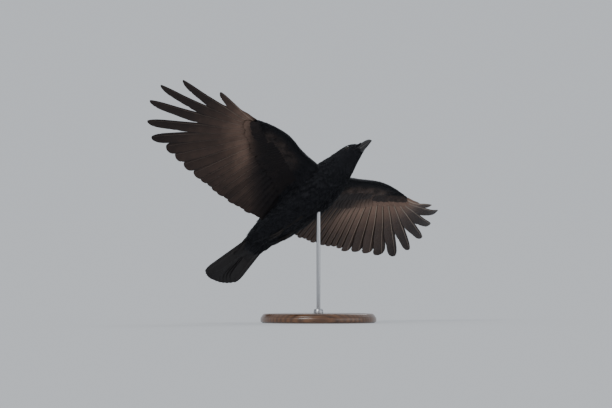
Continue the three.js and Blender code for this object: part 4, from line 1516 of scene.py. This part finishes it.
vertex_values(skin_mesh, "lie", unit(lie))
vertex_values(skin_mesh, "stand", skin_normals)
vertex_values(skin_mesh, "length", length)
for region, values in REGIONS.items():
    vertex_values(skin_mesh, region, values)


def contour_material(name, sheen):
    """Soft black barbs with a faint cool gloss, browner where the markings say, paler at the worn edge."""
    made, add, drive = material(
        name, Specular_IOR_Level=0.18, Specular_Tint=(0.80, 0.86, 1.0, 1), Sheen_Weight=sheen,
        Sheen_Roughness=0.35, Sheen_Tint=(0.75, 0.80, 0.95, 1),
    )
    tint, along, across = (carried(add, attribute) for attribute in ("tint", "along", "across"))
    black = ramp(add, tint, (0, (0.0030, 0.0030, 0.0036)), (1, (0.0085, 0.0085, 0.0100)))
    marked = add("Mix", {0: carried(add, "brown"), 6: black, 7: (0.110, 0.080, 0.066, 1)}, data_type="RGBA")
    aside = add("Math", {0: across}, operation="ABSOLUTE").outputs[0]
    far_aside = add("Math", {0: aside, 1: 3.0}, operation="POWER").outputs[0]
    edge = add("Math", {0: far_aside, 1: 0.25}, operation="MULTIPLY").outputs[0]
    paler = add("Mix", {0: edge, 6: marked.outputs[2], 7: (0.018, 0.016, 0.016, 1)}, data_type="RGBA")
    drive("Base Color", paler.outputs[2])
    fine = add("TexNoise", {"Vector": add("TexCoord").outputs["Object"], "Scale": 2600, "Detail": 2})
    rippled(add, drive, fine.outputs["Fac"], 0.25, 0.0001)
    rough = add("Math", {0: ranged(add, tint, 0.36, 0.50), 1: ranged(add, along, 0.0, 0.08)}, operation="ADD")
    drive("Roughness", rough.outputs[0])
    return made


soft_black = contour_material("soft_black_feather", 0.035)
broad_feathers = feather_set("broad_feather", 11, 0.42, 0.05, 0.055)
hackle_feathers = feather_set("hackle_feather", 9, 0.50, 0.05, 0.05)
face_feathers = feather_set("face_feather", 7, 0.45, 0.05, 0.07)


def sowing(region, feathers, spacing, slimness, lift, ruffle, seed):
    """What the planting tree is given for one region."""
    return {
        "Region": region, "Feathers": feathers, "Spacing": float(spacing), "Slimness": slimness, "Lift": lift,
        "Ruffle": ruffle, "Seed": seed, "Finish": soft_black,
    }


def wing_coat(name, seed):
    """The coat of one wing: broad feathers over the arm, and small ones along its leading edge."""
    return f"coat_wing_{name}", f"wing_arm_{name}", wing_unwrap, [
        sowing(f"wing_{name}", broad_feathers, 3.4, 0.56, 0.05, 0.08, seed),
        sowing(f"edge_{name}", face_feathers, 1.7, 0.55, 0.04, 0.06, seed + 2),
    ]


coats = (
    ("coat_head", "head", body_unwrap, [
        sowing("face", face_feathers, 1.25, 0.46, 0.10, 0.10, 1),
        sowing("crown", face_feathers, 1.9, 0.44, 0.10, 0.10, 2),
    ]),
    ("coat_neck", "neck", body_unwrap, [sowing("neck", hackle_feathers, 2.9, 0.40, 0.11, 0.14, 3)]),
    ("coat_trunk", "trunk", body_unwrap, [sowing("trunk", broad_feathers, 4.4, 0.52, 0.09, 0.13, 4)]),
    ("coat_rump", "trunk", body_unwrap, [sowing("rump", broad_feathers, 5.4, 0.46, 0.06, 0.10, 5)]),
    wing_coat("right", 6),
    wing_coat("left", 7),
)
for name, node_name, unwrap, sowings in coats:
    on_bird(coat_piece(name, sowings, unwrap), "plumage", node_name)
for spare in (broad_feathers, hackle_feathers, face_feathers):
    for variant in list(spare.objects):
        bpy.data.objects.remove(variant)
    bpy.data.collections.remove(spare)


# stiff bristles that lie forward from the forehead and the lores over the nostrils, and under the chin
BILL_COVER = smooth((
    # along, top, corner of the mouth, bottom, half width
    (78, 22.0, -6, -17.0, 18.0), (84, 19.0, -6, -15.4, 16.2), (88, 16.2, -6.2, -14.2, 14.4),
    (92, 12.4, -6.6, -13.5, 12.3), (95, 8.8, -7.0, -13.4, 10.6), (98, 6.0, -7.4, -13.6, 9.1),
    (101, 4.8, -7.6, -14.0, 8.1), (104, 4.2, -7.8, -14.2, 7.4), (112, 2.7, -8.3, -14.0, 5.9),
))
BRISTLES = 1100
BRISTLE_RINGS = 6
BRISTLE_SIDES = 3


def over_bill(along, turn, lift):
    """A place over the face or the bill; turn goes from the right corner of the mouth over the top."""
    top, corner, bottom, half = np.moveaxis(BILL_COVER(along), -1, 0)
    across = np.cos(turn)
    rise = np.sign(np.sin(turn)) * np.abs(np.sin(turn)) ** 0.8
    reach = np.where(rise > 0, top - corner, corner - bottom) + lift
    return np.stack([along, -across * (half + lift), corner + rise * reach], -1)


def bristle(rng):
    """A tapered curved bristle over the nostrils, or a shorter one under the chin."""
    chin = rng.uniform() < 0.22
    turn = -math.pi * rng.uniform(0.06, 0.94) if chin else math.pi * rng.uniform(0.03, 0.97)
    aside = abs(math.cos(turn))
    start = rng.uniform(89.0, 95.5) if chin else rng.uniform(87.5, 96.0) - 1.5 * (1 - aside)
    length = rng.uniform(4, 6.5) if chin else rng.uniform(7.5, 13.5)
    t = np.linspace(0, 1, BRISTLE_RINGS)
    along = start + length * t
    swing = turn + rng.normal(0, 0.05) * t + (0.0 if chin else 0.10) * math.cos(turn) * t
    line = over_bill(along, swing, (-1.8 if chin else -1.2) + (1.15 + rng.uniform(0.0, 0.7)) * t**0.6)
    wide = rng.uniform(0.17, 0.26)
    return loft(limb(line, lambda u: wide * (1 - 0.82 * u), BRISTLE_RINGS, BRISTLE_SIDES))


rng = np.random.default_rng(60)
bristles = [bristle(rng) for _ in range(BRISTLES)]
points, faces = together(bristles)
each = len(bristles[0][0])
roots = np.repeat([one[0][-2] for one in bristles], each, axis=0)
outward = np.append(np.repeat(np.linspace(0, 1, BRISTLE_RINGS), BRISTLE_SIDES), (0, 1))
outward = np.tile(outward, BRISTLES)
round_it = np.tile(np.append(np.tile((-0.5, 0, 0.5), BRISTLE_RINGS), (0, 0)), BRISTLES)
cover = piece("nasal_bristles", points, faces, contour_material("stiff_bristle", 0.12))
vertex_values(cover.data, "tint", np.repeat(rng.uniform(0.3, 1, BRISTLES), each))
vertex_values(cover.data, "along", 1 - 0.5 * outward)
vertex_values(cover.data, "across", 0 * outward)
vertex_values(cover.data, "brown", 0 * outward)
patch = np.stack([outward - 0.5, round_it], -1) * TUFT_PATCH
baking_map_by_vertex(cover.data, body_unwrap(roots) + patch)
on_bird(cover, "plumage", "head")
